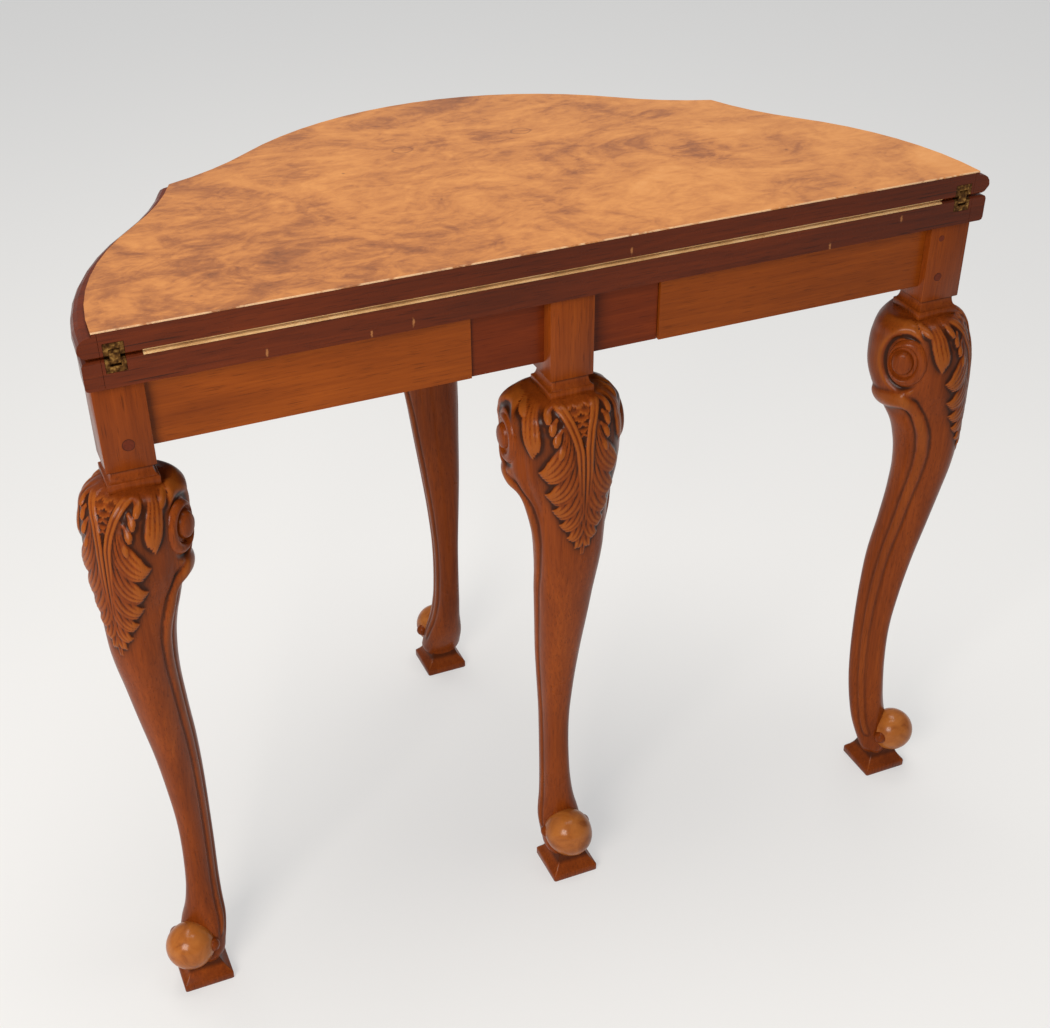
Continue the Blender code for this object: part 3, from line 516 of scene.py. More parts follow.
# share of the height, then of the breadth: back, front, half width; last, the squareness
LEG_STATIONS = (
    (0.040, 0.060, 0.340, 0.200, 2.6),
    (0.049, 0.045, 0.355, 0.240, 2.6),
    (0.074, -0.020, 0.335, 0.250, 2.6),
    (0.109, -0.100, 0.280, 0.235, 2.5),
    (0.151, -0.160, 0.232, 0.185, 2.5),
    (0.197, -0.200, 0.200, 0.158, 2.5),
    (0.257, -0.226, 0.173, 0.148, 2.5),
    (0.332, -0.237, 0.168, 0.153, 2.5),
    (0.417, -0.233, 0.215, 0.182, 2.5),
    (0.499, -0.208, 0.286, 0.222, 2.4),
    (0.582, -0.142, 0.378, 0.264, 2.4),
    (0.658, -0.095, 0.462, 0.304, 2.3),
    (0.708, -0.085, 0.515, 0.330, 2.3),
    (0.759, -0.120, 0.550, 0.365, 2.2),
    (0.797, -0.190, 0.570, 0.410, 2.1),
    (0.825, -0.290, 0.575, 0.445, 2.1),
    (0.848, -0.365, 0.572, 0.495, 2.1),
    (0.874, -0.420, 0.568, 0.545, 2.1),
    (0.900, -0.455, 0.558, 0.565, 2.1),
    (0.926, -0.460, 0.542, 0.572, 2.1),
    (0.959, -0.448, 0.495, 0.560, 2.2),
    (0.982, -0.405, 0.425, 0.500, 2.4),
    (0.994, -0.330, 0.345, 0.380, 2.8),
    (1.004, -0.205, 0.205, 0.205, 4.0),
)


def smooth_between(at, places, values):
    """A smooth line through the values, evaluated at the given places."""
    places, values = np.asarray(places, float), np.asarray(values, float)
    slopes = np.gradient(values, places)
    i = np.clip(np.searchsorted(places, at) - 1, 0, len(places) - 2)
    gap = places[i + 1] - places[i]
    t = np.clip((at - places[i]) / gap, 0, 1)
    first = (1 + 2 * t) * (1 - t) ** 2 * values[i] + t * (1 - t) ** 2 * gap * slopes[i]
    return first + t**2 * (3 - 2 * t) * values[i + 1] + t**2 * (t - 1) * gap * slopes[i + 1]


def leg_section(heights, width):
    """For each height: points all round the plain leg, and how far round each lies.

    Round is 0 in the middle of the front and 1 or -1 in the middle of the back.
    """
    table = np.array(LEG_STATIONS)
    back, front, half, square = (
        smooth_between(heights / COLLAR_BOTTOM, table[:, 0], table[:, k])[:, None] for k in (1, 2, 3, 4)
    )
    angle = np.linspace(-np.pi, np.pi, ROUND_STEPS + 1)[None, :]
    broad = width > BROAD
    most = SQUARE_MORE if broad else 0
    fuller = np.interp(heights, SQUARE_LEVELS, (0, most, most, 0))
    square = square * np.where(np.cos(angle) < 0, 1 + fuller[:, None], 1)
    along = np.sign(np.cos(angle)) * np.abs(np.cos(angle)) ** (2 / square)
    across = np.sign(np.sin(angle)) * np.abs(np.sin(angle)) ** (2 / square)
    forward = ((back + front) / 2 + (front - back) / 2 * along) * BREADTH
    slim = width if broad else width - 0.09
    widths = np.interp(heights, WIDTH_LEVELS, (FOOT_WIDTH, width, width - 0.03, slim, slim, width))
    sideways = half * widths[:, None] * across * BREADTH
    step = np.hypot(np.diff(forward, axis=1), np.diff(sideways, axis=1))
    arc = np.concatenate([np.zeros((len(heights), 1)), np.cumsum(step, axis=1)], axis=1)
    middle = arc[:, ROUND_STEPS // 2][:, None]
    return forward, sideways, arc - middle


print("leg outline:", len(LEG_STATIONS), "levels")

# %% [markdown]
# The leaf on the knee is drawn in a flat map: how far round the leg from the middle of its
# front, and how far below the collar, both in millimetres. Every lobe is a curved feather: a
# middle line, a width along it, and a few flutes. A lobe is proud at its tip and low at its
# root, so that each one seems to lie over the next.

# %% The lobes of the leaf
# root, two points that it bends through, tip; half width; reeds; rise at the tip
LOBES = (
    (((36, -2), (50, 3), (58, 26), (48, 49)), 10.5, 4, 4.0),
    (((14, 18), (14, 40), (23, 63), (47, 68)), 12.5, 5, 4.2),
    (((9, 36), (9, 66), (17, 88), (41, 91)), 12.5, 5, 4.2),
    (((6, 56), (6, 84), (13, 105), (34, 107)), 11.0, 4, 4.0),
    (((4, 78), (4, 102), (10, 120), (26, 121)), 9.0, 4, 3.6),
    (((3, 98), (3, 120), (7, 133), (17, 134)), 7.0, 3, 3.2),
    (((2, 116), (2, 131), (4, 141), (7, 145)), 4.8, 2, 2.8),
)
LEAFLETS = (
    (((25, 2), (29, 4), (32, 8), (32, 14)), 3.6, 0, 4.6),
    (((23, 10), (27, 13), (30, 18), (30, 24)), 3.7, 0, 4.6),
    (((20, 19), (24, 23), (27, 28), (28, 35)), 3.8, 0, 4.6),
    (((17, 29), (20, 34), (23, 40), (25, 47)), 3.4, 0, 4.4),
)
STEM_TOP = ((21, -3), (13, 8), (7, 22), (4.6, 42))
STEM_REST = ((4.2, 60), (3.4, 86), (2.2, 120), (1.0, 150))
# the stem's half width and rise at these shares of its length
STEM_SHARES, STEM_HALF, STEM_RISE = (0, 0.33, 0.6, 1), (4.9, 4.6, 3.2, 0.9), (3.6, 3.9, 2.8, 1.2)
BUD_PLACE, BUD_REACH, BUD_RISE = (58, 7), 6, 3.8
# rows of scales, height of a row and breadth of a scale
SCALE_ROWS, ROW_PITCH, SCALE_PITCH = 6, 4.6, 11.0


def curve_points(corners, count=26):
    """Points of a Bezier curve given by its four corner points."""
    t = np.linspace(0, 1, count)[:, None]
    a, b, c, d = (np.array(p, float) for p in corners)
    return (1 - t) ** 3 * a + 3 * t * (1 - t) ** 2 * b + 3 * t**2 * (1 - t) * c + t**3 * d


def beside(x, y, line):
    """For every point: the nearest place along a line (0 to 1), and the distance to its left."""
    best = np.full(x.shape, 1e9)
    share = np.zeros(x.shape)
    offset = np.zeros(x.shape)
    lengths = np.hypot(*np.diff(line, axis=0).T)
    marks = np.concatenate([[0], np.cumsum(lengths)])
    for i in range(len(line) - 1):
        dx, dy = line[i + 1] - line[i]
        t = np.clip(((x - line[i, 0]) * dx + (y - line[i, 1]) * dy) / lengths[i] ** 2, 0, 1)
        away_x, away_y = x - line[i, 0] - t * dx, y - line[i, 1] - t * dy
        away = np.hypot(away_x, away_y)
        nearer = away < best
        best = np.where(nearer, away, best)
        share = np.where(nearer, (marks[i] + t * lengths[i]) / marks[-1], share)
        offset = np.where(nearer, np.sign(dx * away_y - dy * away_x) * away, offset)
    return share, offset, best


def ease(value, low, high):
    """A smooth step: 0 up to low, and 1 from high on."""
    t = np.clip((value - low) / (high - low), 0, 1)
    return t * t * (3 - 2 * t)


def lobe_height(x, y, corners, half_width, reeds, rise):
    """Height of one lobe over the plain surface, 0 outside it."""
    share, offset, away = beside(x, y, curve_points(corners))
    # narrow at the root, and narrower again towards the tip
    grow = (0.42 + 0.58 * ease(share, 0.0, 0.55)) * (1 - 0.50 * ease(share, 0.66, 1.0))
    across = np.sign(offset) * np.clip(away / (half_width * grow), 0, 1)
    # 1 along the middle of a reed, 0 in the cut between two
    finger = np.abs(np.sin(np.pi * max(reeds, 1) * (across + 1) / 2)) ** 0.5
    # the tip ends slantwise and in small points
    outer = (across + 1) / 2
    end = 1 - 0.12 * outer - 0.05 * (1 - finger) if reeds else np.ones_like(share)
    past = np.clip((share / end - 0.80) / 0.20, 0, None)
    body = np.sqrt(np.clip(1 - np.abs(across) ** 4, 0, 1)) * np.sqrt(np.clip(1 - past**3, 0, 1))
    lift = rise * (0.34 + 0.66 * ease(share, 0.15, 0.9))
    groove = 1.5 * (finger - 0.75) * ease(share, 0.02, 0.25) if reeds else 0
    return body * (lift + groove)


def scale_height(x, y):
    """Rows of small scales between the arms, lapped like roof tiles."""
    height = np.full(x.shape, 0.8)
    for row in range(SCALE_ROWS):
        middle = (x / SCALE_PITCH + 0.5 * (row % 2) + 0.5) % 1.0 - 0.5
        lower = 5.0 + ROW_PITCH * row - 2.0 * (2 * np.abs(middle)) ** 2
        up = lower - y
        tile = 0.7 + 2.0 * np.clip(1 - up / 6, 0, 1)
        height = np.where((up > 0) & (up < 7), np.maximum(height, tile), height)
    return height


def leaf_height(x, y):
    """The whole leaf on one side of the knee, with its stem, arm and scales."""
    x = np.abs(x)
    height = np.zeros(x.shape)
    for shape in LEAFLETS + LOBES:
        height = np.maximum(height, lobe_height(x, y, *shape))
    bud_x, bud_y = (x - BUD_PLACE[0]) / BUD_REACH, (y - BUD_PLACE[1]) / BUD_REACH
    height = np.maximum(height, BUD_RISE * np.sqrt(np.clip(1 - bud_x**2 - bud_y**2, 0, 1)))
    share, offset, away = beside(x, y, np.concatenate([curve_points(STEM_TOP), STEM_REST]))
    half = np.interp(share, STEM_SHARES, STEM_HALF)
    rise = np.interp(share, STEM_SHARES, STEM_RISE)
    across = np.clip(offset / half, -1, 1)
    ridges = rise - 1.5 * np.exp(-(((across + 0.05) / 0.26) ** 2)) * rise / 3.6
    height = np.maximum(height, np.where(away < half, ridges * np.sqrt(np.clip(1 - across**4, 0, 1)), 0))
    panel = (x < 20 - 0.62 * y) & (y > 0.0) & (height < 0.3)
    return np.where(panel, scale_height(x, y), height)


print("lobes:", len(LOBES), "and leaflets:", len(LEAFLETS))

# %% The side of the leg: crescent, bead and flutes
# the bead's middle line: how far round the leg, then millimetres below the collar
BEAD_ROUND = (
    (0.86, 93),
    (0.77, 91),
    (0.68, 87),
    (0.59, 85),
    (0.530, 91),
    (0.495, 103),
    (0.480, 122),
    (0.485, 146),
    (0.515, 176),
    (0.545, 206),
    (0.565, 266),
    (0.575, 336),
    (0.570, 406),
    (0.555, 476),
    (0.530, 510),
    (0.500, 534),
)
# half the way round a leg of usual girth, in millimetres
USUAL_GIRTH = 140
# the bead's half width and rise at these shares of its length, in millimetres
BEAD_SHARES = (0, 0.05, 0.12, 0.25, 0.5, 0.9, 1)
BEAD_HALF = (11, 9.5, 7.4, 6.0, 4.6, 3.4, 3.0)
BEAD_RISE = (5.0, 4.0, 2.6, 1.6, 0.9, 0.7, 0.7)
# middle of the scroll, forward and below the collar, and half its size, in millimetres
SCROLL_PLACE, SCROLL_HALF = (-6.0, 42.4), (28.5, 36.0)


def side_height(turn, girth, depth):
    """Bead with a flute on each side. girth is half the way round the leg, in millimetres."""
    line = np.array(BEAD_ROUND, float)
    steps = np.linspace(0, 1, 90)
    lengths = np.hypot(np.diff(line[:, 0] * USUAL_GIRTH), np.diff(line[:, 1]))
    marks = np.concatenate([[0], np.cumsum(lengths)])
    marks /= marks[-1]
    line = np.stack([np.interp(steps, marks, line[:, 0]), np.interp(steps, marks, line[:, 1])], axis=1)
    best = np.full(turn.shape, 1e9)
    place = np.zeros(turn.shape)
    for i in range(len(line) - 1):
        (t0, d0), (t1, d1) = line[i], line[i + 1]
        dx, dy = (t1 - t0) * girth, d1 - d0
        px, py = (np.abs(turn) - t0) * girth, depth - d0
        t = np.clip((px * dx + py * dy) / (dx * dx + dy * dy + 1e-9), 0, 1)
        away = np.hypot(px - t * dx, py - t * dy)
        nearer = away < best
        best = np.where(nearer, away, best)
        place = np.where(nearer, (i + t) / (len(line) - 1), place)
    half = np.interp(place, BEAD_SHARES, BEAD_HALF)
    rise = np.interp(place, BEAD_SHARES, BEAD_RISE)
    bead = rise * np.clip(1 - (best / half) ** 2.2, 0, 1) ** 0.8
    flute = -1.2 * np.exp(-(((best - half - 1.8) / 2.2) ** 2)) * ease(place, 0.02, 0.12)
    return np.where(best < half, bead, flute)


def crescent_height(forward, depth, side_share):
    """The outer turn of the scroll, which runs over the volute from under the collar."""
    x, y = forward * 1000 - SCROLL_PLACE[0], depth - SCROLL_PLACE[1]
    far = np.hypot(x / SCROLL_HALF[0], y / SCROLL_HALF[1])
    rear = ease(-x, -20, -4) * side_share
    band = 3.6 * ease(far, 0.84, 0.96) * (1 - ease(far, 1.25, 1.8))
    cut = 1.6 * np.exp(-(((far - 0.81) / 0.05) ** 2))
    return (band - cut) * rear


print("bead points:", len(BEAD_ROUND))

# %% Wrap a sheet of faces round the leg and raise the carving
SHEET_BOTTOM, KNEE_BOTTOM, SHEET_TOP = 0.0245, 0.395, 0.5924
SHANK_STEP, FIRST_KNEE_STEP, KNEE_STEP = 0.0034, 0.0012, 0.00096
# the sheet has twice as many columns
HALF_COLUMNS = 130
# the leaf and the bead are drawn for a leg of this width, whatever the width of the leg
DRAWN_WIDTH = 0.96
LEAF_RELIEF = 0.70
# places are forward and up, in metres
VOLUTE_PLACE, VOLUTE_HALF = (-0.0030, 0.5480), (0.0208, 0.0270)
# from the middle of the volute
BOSS_PLACE, BOSS_HALF = (-0.0044, 0.0005), (0.0124, 0.0150)


def leg_levels():
    """Heights of the sheet's rows, wide apart on the shank and close together on the knee."""
    shank = np.arange(SHEET_BOTTOM, KNEE_BOTTOM, SHANK_STEP)
    return np.concatenate([shank, np.arange(shank[-1] + FIRST_KNEE_STEP, SHEET_TOP, KNEE_STEP)])


def blurred(field, reach):
    """A running mean over the sheet, round the leg and up it."""
    kernel = np.ones(2 * reach + 1) / (2 * reach + 1)
    wide = np.concatenate([field[:, -reach:], field, field[:, :reach]], axis=1)
    wide = np.apply_along_axis(lambda r: np.convolve(r, kernel, "valid"), 1, wide)
    tall = np.concatenate([wide[:1].repeat(reach, 0), wide, wide[-1:].repeat(reach, 0)])
    return np.apply_along_axis(lambda c: np.convolve(c, kernel, "valid"), 0, tall)


@functools.cache
def carved_points(width):
    """Every point of the sheet in the leg's own frame, and how deep in the carving it lies."""
    heights = leg_levels()
    forward, sideways, arc = leg_section(heights, width)
    drawn = leg_section(heights, DRAWN_WIDTH)[2]
    # columns are closer together on the front, where the leaf is
    spread = np.linspace(0, 1, HALF_COLUMNS + 1)
    spread = spread * 0.62 + 0.38 * spread**2.2
    turn = np.concatenate([-spread[::-1], spread[1:-1]])
    count = len(turn)
    f = np.empty((len(heights), count))
    s = np.empty_like(f)
    around = np.empty_like(f)
    for k in range(len(heights)):
        share = arc[k] / arc[k, -1]
        f[k] = np.interp(turn, share, forward[k])
        s[k] = np.interp(turn, share, sideways[k])
        around[k] = turn * drawn[k, -1] * 1000
    z = np.repeat(heights[:, None], count, 1)
    depth = (COLLAR_BOTTOM - z) * 1000
    turns = np.repeat(turn[None], len(heights), 0)
    df = np.roll(f, -1, 1) - np.roll(f, 1, 1)
    ds = np.roll(s, -1, 1) - np.roll(s, 1, 1)
    up = np.gradient(z, axis=0)
    uf, us = np.gradient(f, axis=0), np.gradient(s, axis=0)
    normal = np.stack([ds * up, -df * up, df * us - ds * uf], axis=-1)
    normal /= np.linalg.norm(normal, axis=-1, keepdims=True) + 1e-12
    leaf = leaf_height(around, depth) * LEAF_RELIEF * ease(depth, -1.0, 2.0)
    aside = np.abs(turns)
    side_share = ease(aside, 0.40, 0.52)
    girth = np.repeat(drawn[:, -1:] * 1000, count, 1)
    side = side_height(turns, girth, depth) + crescent_height(f, depth, side_share)
    relief = np.where(leaf > 0.05, leaf, side * ease(depth, 0, 4))
    # recess is over 0 in a hollow and under 0 on a ridge; from it the finish paints shade in the hollows
    # and highlights on the ridges
    recess = 1.3 * (blurred(relief, 4) - relief) + 0.8 * (blurred(relief, 12) - relief)
    recess *= np.where((leaf > 0.05) | (blurred(leaf, 12) > 0.05), 1, 0.35) * ease(depth, 0.5, 6)
    # the plain knee is sunk by this much under the leaf, and sunk or raised on its flanks
    flank = ease(aside, 0.36, 0.46)
    flank_sunk, crest = (-1.0, 2) if width > BROAD else (4.6, 0)
    below_collar = ease(depth, 0, 22)
    sunk = 3.2 * below_collar * (1 - ease(depth, 110, 160)) * (1 - flank)
    sunk -= crest * np.exp(-(((depth - 16) / 11) ** 2)) * flank * (1 - ease(aside, 0.62, 0.85))
    sunk += flank_sunk * below_collar * (1 - ease(depth, 70, 120)) * flank * (1 - ease(aside, 0.72, 0.95))
    points = np.stack([f, s, z], axis=-1) + normal * ((blurred(relief, 1) - sunk) / 1000)[..., None]
    return points, recess


def carved_sheet(width):
    """The wrapped sheet as a bmesh, closed at its seam and both ends."""
    points, recess = carved_points(width)
    rows, count = recess.shape
    bm = bmesh.new()
    bmesh.ops.create_grid(bm, x_segments=count - 1, y_segments=rows - 1, size=0.5)
    hollow = bm.verts.layers.float.new("recess")
    bm.verts.ensure_lookup_table()
    order = sorted(bm.verts, key=lambda v: (round(v.co.y * rows * 4), v.co.x))
    flat, deep = points.reshape(-1, 3), recess.reshape(-1)
    for vert, place, share in zip(order, flat, deep):
        vert.co = place
        vert[hollow] = share
    edges = []
    for seam in (order[::count], order[count - 1 :: count]):
        for lower, upper in zip(seam, seam[1:]):
            edges += [e for e in lower.link_edges if upper in e.verts]
    bmesh.ops.bridge_loops(bm, edges=edges)
    bmesh.ops.holes_fill(bm, edges=[e for e in bm.edges if e.is_boundary], sides=0)
    return bm


def add_volutes(bm, reach_out):
    """Two oval discs with a rolled rim, a deep groove and a round boss, let into the knee."""
    for side in (-1, 1):
        made = bmesh.ops.create_grid(bm, x_segments=84, y_segments=34, size=0.5)["verts"]
        for vert in made:
            angle = 2 * math.pi * (vert.co.x + 0.5)
            reach = 1 - (0.5 - vert.co.y) ** 1.4
            x = VOLUTE_HALF[0] * reach * math.cos(angle)
            y = VOLUTE_HALF[1] * reach * math.sin(angle)
            boss = math.hypot((x - BOSS_PLACE[0]) / BOSS_HALF[0], (y - BOSS_PLACE[1]) / BOSS_HALF[1])
            groove = 0.0056 * math.exp(-(((boss - 1.0) / 0.17) ** 2))
            dome = 0.0030 * max(0.0, 1 - boss**2)
            roll = 0.0042 * max(0.0, (reach - 0.70) / 0.25) ** 2.4
            drop = 0.014 * max(0.0, (reach - 0.94) / 0.06) ** 1.5
            out = reach_out - groove + dome - roll - drop
            vert.co = (x + VOLUTE_PLACE[0], side * out, y + VOLUTE_PLACE[1])
        bmesh.ops.remove_doubles(bm, verts=made, dist=0.00002)
    bmesh.ops.holes_fill(bm, edges=[e for e in bm.edges if e.is_boundary], sides=0)


print("levels in a leg:", len(leg_levels()))

# %% Ball, eyes, pad, collar and block
# from the middle of the ball
EYE_BACK, EYE_OUT, EYE_UP, EYE_RADIUS = 0.0085, 0.0215, 0.001, 0.0072
# side of the block at the top of a leg, and how much less it is at the block's lower edge
BLOCK, CHAMFER = 0.0425, 0.0008
# rings of height over the collar's lower edge, and side
COLLAR_RINGS = ((0, 0.0434), (0.0006, 0.0442), (0.0074, 0.0442), (0.0077, 0.0436))
# the hollow from the collar up to the block: height at its end, side at its start, then how
# tall it is, how much the side shrinks, and in how many steps
COVE_TOP, COVE_SIDE, COVE_TALL, COVE_DEEP, COVE_STEPS = 0.0176, 0.0436, 0.0096, 0.0080, 6
BLOCK_RINGS = ((0.0186, 0.0358), (0.0186, BLOCK - CHAMFER), (0.0192, BLOCK))
# heights over the same edge between which shade is painted, on the collar's lower edge and under the
# block, with how much
COLLAR_SHADE = ((-0.0005, 0.0007, 1.0), (0.0160, 0.0187, 1.1))
# the pad under the ball, in rings of height and side, and how far forward it stands
PAD_FORWARD = 0.0225
PAD_RINGS = (
    (0.0, 0.0500),
    (0.0010, 0.0515),
    (0.0082, 0.0515),
    (0.0094, 0.0503),
    (0.0112, 0.0470),
    (0.0140, 0.0425),
    (0.0175, 0.0382),
    (0.0215, 0.0345),
    (0.0255, 0.0318),
    (0.0290, 0.0300),
)
# heights between which shade is painted on the pad, at the floor and under the ball, with how much
PAD_SHADE = ((-1, 0.0011, 0.8), (0.0205, 0.0295, 0.9))
COLLAR_ROUNDING, PAD_ROUNDING = 0.0007, 0.0016


def square_loft(bm, centre, rings, shaded, rounding):
    """A square bar through level rings of (height, side), with softened corners that are painted light,
    partly for wear and partly as a painted highlight.

    The fourth argument holds the heights between which shade is painted, with how much.
    """
    before = len(bm.verts)
    made = bmesh.ops.create_grid(bm, x_segments=1, y_segments=1, size=0.5)["verts"]
    face = made[0].link_faces[0]
    bmesh.ops.scale(bm, vec=(rings[0][1], rings[0][1], 1), verts=made)
    bmesh.ops.translate(bm, vec=(*centre, rings[0][0]), verts=made)
    every = list(made)
    underside = face
    for (low, side), (high, after) in zip(rings, rings[1:]):
        inner = face
        raised = bmesh.ops.extrude_face_region(bm, geom=[face])["geom"]
        verts = [g for g in raised if isinstance(g, bmesh.types.BMVert)]
        face = next(g for g in raised if isinstance(g, bmesh.types.BMFace))
        home = Matrix.Translation((-centre[0], -centre[1], 0))
        bmesh.ops.scale(bm, vec=(after / side, after / side, 1), space=home, verts=verts)
        bmesh.ops.translate(bm, vec=(0, 0, high - low), verts=verts)
        if inner.is_valid and inner != underside:
            bmesh.ops.delete(bm, geom=[inner], context="FACES_ONLY")
        every += verts
    arrises = []
    for edge in {e for v in every for e in v.link_edges}:
        steep = abs(edge.verts[0].co.z - edge.verts[1].co.z) > 1e-6
        if steep or edge.calc_face_angle(0) > 1.2:
            arrises.append(edge)
    softened = {"offset": rounding, "segments": 2, "profile": 0.5, "clamp_overlap": True}
    bmesh.ops.bevel(bm, geom=arrises, affect="EDGES", material=-1, **softened)
    hollow = bm.verts.layers.float["recess"]
    for vert in list(bm.verts)[before:]:
        x, y, z = vert.co
        # corners are painted light: partly wear, partly a painted highlight
        on_corner = abs(abs(x - centre[0]) - abs(y - centre[1])) < 0.00002
        # painted shade in the given bands
        painted_shade = [amount for low, high, amount in shaded if low <= z <= high]
        vert[hollow] = painted_shade[0] if painted_shade else (CORNER_RECESS if on_corner else 0.0)


def cove_rings():
    """Rings of (height, side) along the hollow between the collar and the block."""
    angles = [(1 - i / COVE_STEPS) * math.pi / 2 for i in range(COVE_STEPS + 1)]
    return [(COVE_TOP - COVE_TALL * math.sin(a), COVE_SIDE - COVE_DEEP * math.cos(a)) for a in angles]


def lean_over(bm, lean):
    """Set the shank a little aside. lean holds rows of height, and metres forward and sideways."""
    heights, forward, sideways = zip(*lean)
    for vert in bm.verts:
        vert.co.x += np.interp(vert.co.z, heights, forward)
        vert.co.y += np.interp(vert.co.z, heights, sideways)


def add_foot(bm, ball):
    """The ball, and the eye on each side of it. ball is how far forward, how high and how large."""
    forward, up, radius = ball
    hollow = bm.verts.layers.float["recess"]
    middle = Matrix.Translation((forward, 0, up))
    made = bmesh.ops.create_uvsphere(bm, u_segments=48, v_segments=24, radius=radius, matrix=middle)
    for vert in made["verts"]:
        vert[hollow] = BALL_RECESS
    for side in (-1, 1):
        eye = Matrix.Translation((forward - EYE_BACK, side * EYE_OUT, up + EYE_UP))
        bmesh.ops.create_uvsphere(bm, u_segments=28, v_segments=14, radius=EYE_RADIUS, matrix=eye)


def carved_leg(node, body, centre, facing, top, width, ball, volute, lean):
    """One leg with everything that is carved from the same stick.

    volute is how far out from the leg's middle its two volutes lie.
    """
    bm = carved_sheet(width)
    add_volutes(bm, volute)
    add_foot(bm, ball)
    lean_over(bm, lean)
    place = Matrix.Translation((*centre, 0)) @ Matrix.Rotation(facing, 4, "Z")
    bmesh.ops.transform(bm, matrix=place, verts=bm.verts)
    rings = [(COLLAR_BOTTOM + up, side) for up, side in (*COLLAR_RINGS, *cove_rings(), *BLOCK_RINGS)]
    # bands of painted shade on the collar's lower edge and under the block
    shaded = [(COLLAR_BOTTOM + low, COLLAR_BOTTOM + high, amount) for low, high, amount in COLLAR_SHADE]
    square_loft(bm, centre, [*rings, (top, BLOCK)], shaded, COLLAR_ROUNDING)
    foot = place @ Vector((PAD_FORWARD, 0, 0))
    square_loft(bm, foot.to_2d(), PAD_RINGS, PAD_SHADE, PAD_ROUNDING)
    bmesh.ops.recalc_face_normals(bm, faces=bm.faces)
    name = "carved_" + node
    mesh = bpy.data.meshes.new(name)
    bm.to_mesh(mesh)
    bm.free()
    mesh.shade_smooth()
    mesh.set_sharp_from_angle(angle=math.radians(42))
    made = bpy.data.objects.new(name, mesh)
    bpy.context.scene.collection.objects.link(made)
    mesh.materials.append(carved_wood.material)
    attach(made, body)
    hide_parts(node)
    print(name, len(mesh.polygons), "faces")


# %% The four legs
# how far the middle of the table's footprint lies in front of the rear edge
SHIFT = 0.207175
TOPS = {"table_frame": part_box("leg_front")[1].z, "slide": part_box("leg_pull_out")[1].z}
BALL = (0.0380, 0.0515, 0.0248)
LARGE_BALL = (0.0350, 0.0560, 0.0262)
# rows of height, then metres forward and sideways
STRAIGHT = ((0, 0, 0), (0.6, 0, 0))
FRONT_LEAN = (
    (0.03, 0, 0),
    (0.12, -0.001, -0.0035),
    (0.25, 0, -0.0042),
    (0.38, 0, -0.0035),
    (0.48, 0, -0.001),
    (0.53, 0, 0),
)
PULL_OUT_LEAN = (
    (0.03, 0, 0),
    (0.06, -0.003, -0.003),
    (0.12, -0.001, -0.0045),
    (0.25, 0, -0.0055),
    (0.38, 0, -0.0050),
    (0.48, 0, -0.0015),
    (0.53, 0, 0),
)
REAR_FORM = {"width": 0.82, "ball": BALL, "volute": 0.0455, "lean": STRAIGHT}
FRONT_FORM = {"width": 0.98, "ball": BALL, "volute": 0.0575, "lean": FRONT_LEAN}
PULL_OUT_FORM = {"width": 0.96, "ball": LARGE_BALL, "volute": 0.0585, "lean": PULL_OUT_LEAN}
# node, body, its middle along and in front of the rear edge, the way it faces in degrees, and form
LEGS = (
    ("leg_rear_left", "table_frame", -0.398, 0.03235, -135, REAR_FORM),
    ("leg_rear_right", "table_frame", 0.398, 0.03235, -45, REAR_FORM),
    ("leg_front", "table_frame", 0, 0.385, 90, FRONT_FORM),
    ("leg_pull_out", "slide", 0, 0.02935, -90, PULL_OUT_FORM),
)
for node, body, along, in_front, facing, form in LEGS:
    carved_leg(node, body, (along, in_front - SHIFT), math.radians(facing), TOPS[body], **form)

# %% [markdown]
# The floor is a plain pale sheet. Half of what the camera sees of it is a glow of its own, which
# doesn't light the table, so it looks bright and yet the table isn't lit from below. The world
# is dim, and two soft lamps stand for a window and a ceiling light.

# %% Floor, world and lamps
FLOOR_HALF = 12


def pale_floor():
    """A matt floor that glows, but only where the camera, a reflection or glass sees it."""
    finish = Finish("pale floor")
    finish.set(Base_Color=srgb(226, 222, 216), Roughness=0.9, Specular_IOR_Level=0.1)
    path = finish.node("ShaderNodeLightPath")
    seen = path["Is Camera Ray"]
    for ray in ("Is Glossy Ray", "Is Transmission Ray"):
        seen = seen.math("MAXIMUM", path[ray])
    glow = finish.node("ShaderNodeEmission", Color=srgb(250, 250, 250), Strength=1.0)["Emission"]
    halves = {"input_1": finish.shader.outputs[0], "input_2": glow}
    mixed = finish.node("ShaderNodeMixShader", Fac=seen * 0.5, **halves)["Shader"]
    finish.tree.links.new(mixed.socket, finish.tree.nodes["Material Output"].inputs["Surface"])
    return finish


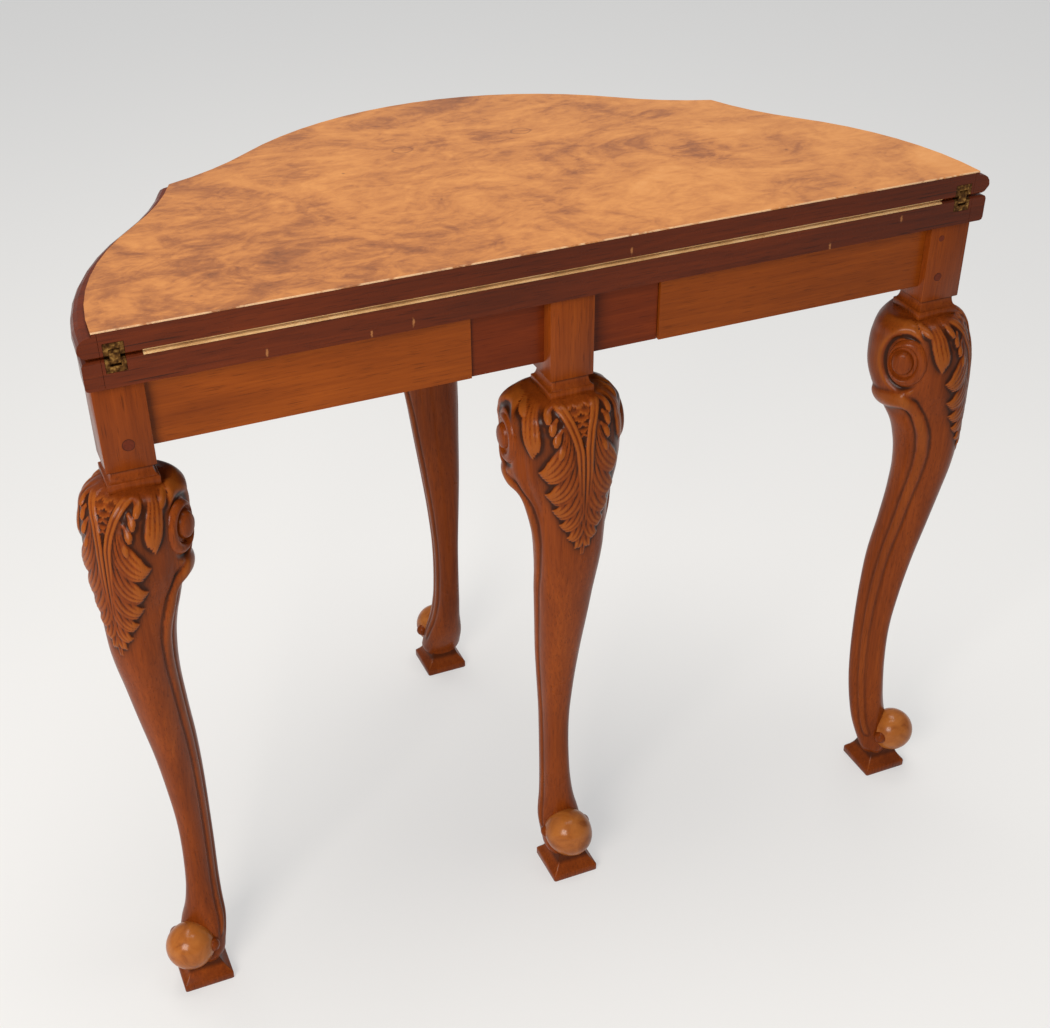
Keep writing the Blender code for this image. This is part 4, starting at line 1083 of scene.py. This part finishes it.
bm = bmesh.new()
bmesh.ops.create_grid(bm, x_segments=1, y_segments=1, size=FLOOR_HALF)
floor_mesh = bpy.data.meshes.new("floor")
bm.to_mesh(floor_mesh)
bm.free()
floor = bpy.data.objects.new("floor", floor_mesh)
floor_mesh.materials.append(pale_floor().material)
bpy.context.scene.collection.objects.link(floor)

world = bpy.data.worlds.new("studio")
bpy.context.scene.world = world
world.use_nodes = True
sky = world.node_tree.nodes["Background"]
sky.inputs["Color"].default_value = (0.86, 0.9, 0.95, 1)
sky.inputs["Strength"].default_value = 0.30


def lamp(name, place, target, size, power, colour):
    """A square lamp that shines from a place towards a target."""
    light = bpy.data.lights.new(name, "AREA")
    light.size = size
    light.energy = power
    light.color = colour
    made = bpy.data.objects.new(name, light)
    made.location = place
    aim = Vector(target) - Vector(place)
    made.rotation_euler = aim.to_track_quat("-Z", "Y").to_euler()
    bpy.context.scene.collection.objects.link(made)


lamp("window", (-1.55, -1.6, 1.45), (-0.1, 0, 0.5), 1.0, 42, (1.0, 0.97, 0.93))
lamp("ceiling", (0.1, 0.3, 2.9), (0, 0, 0.6), 1.8, 56, (1.0, 0.99, 0.97))

# %% [markdown]
# The camera is the one that took the photograph. It was fitted to the rear edge of the top, its
# cusps and the pads of the legs, and it looks down on the table from behind.

# %% The camera of the photograph
# in pixels: focal length, middle of the lens in the picture, size of the picture
focal, middle_x, middle_y = 1543.0, 501.2, 591.8
picture_w, picture_h = 1050.0, 1028.0
eye = Vector((-0.5288, -1.3273, 1.2612))
azimuth, down, roll = math.radians(22.007), math.radians(35.489), math.radians(-1.046)
camera = bpy.data.cameras.new("camera")
camera.sensor_fit = "HORIZONTAL"
camera.sensor_width = 36
camera.lens = focal / picture_w * camera.sensor_width
camera.shift_x = (picture_w / 2 - middle_x) / picture_w
camera.shift_y = (middle_y - picture_h / 2) / picture_w
holder = bpy.data.objects.new("camera", camera)
look = Vector(
    (math.sin(azimuth) * math.cos(down), math.cos(azimuth) * math.cos(down), -math.sin(down))
)
turn = look.to_track_quat("-Z", "Y").to_matrix() @ Matrix.Rotation(roll, 3, "Z")
holder.matrix_world = Matrix.Translation(eye) @ turn.to_4x4()
bpy.context.scene.collection.objects.link(holder)
bpy.context.scene.camera = holder
bpy.context.scene.view_settings.view_transform = "Standard"
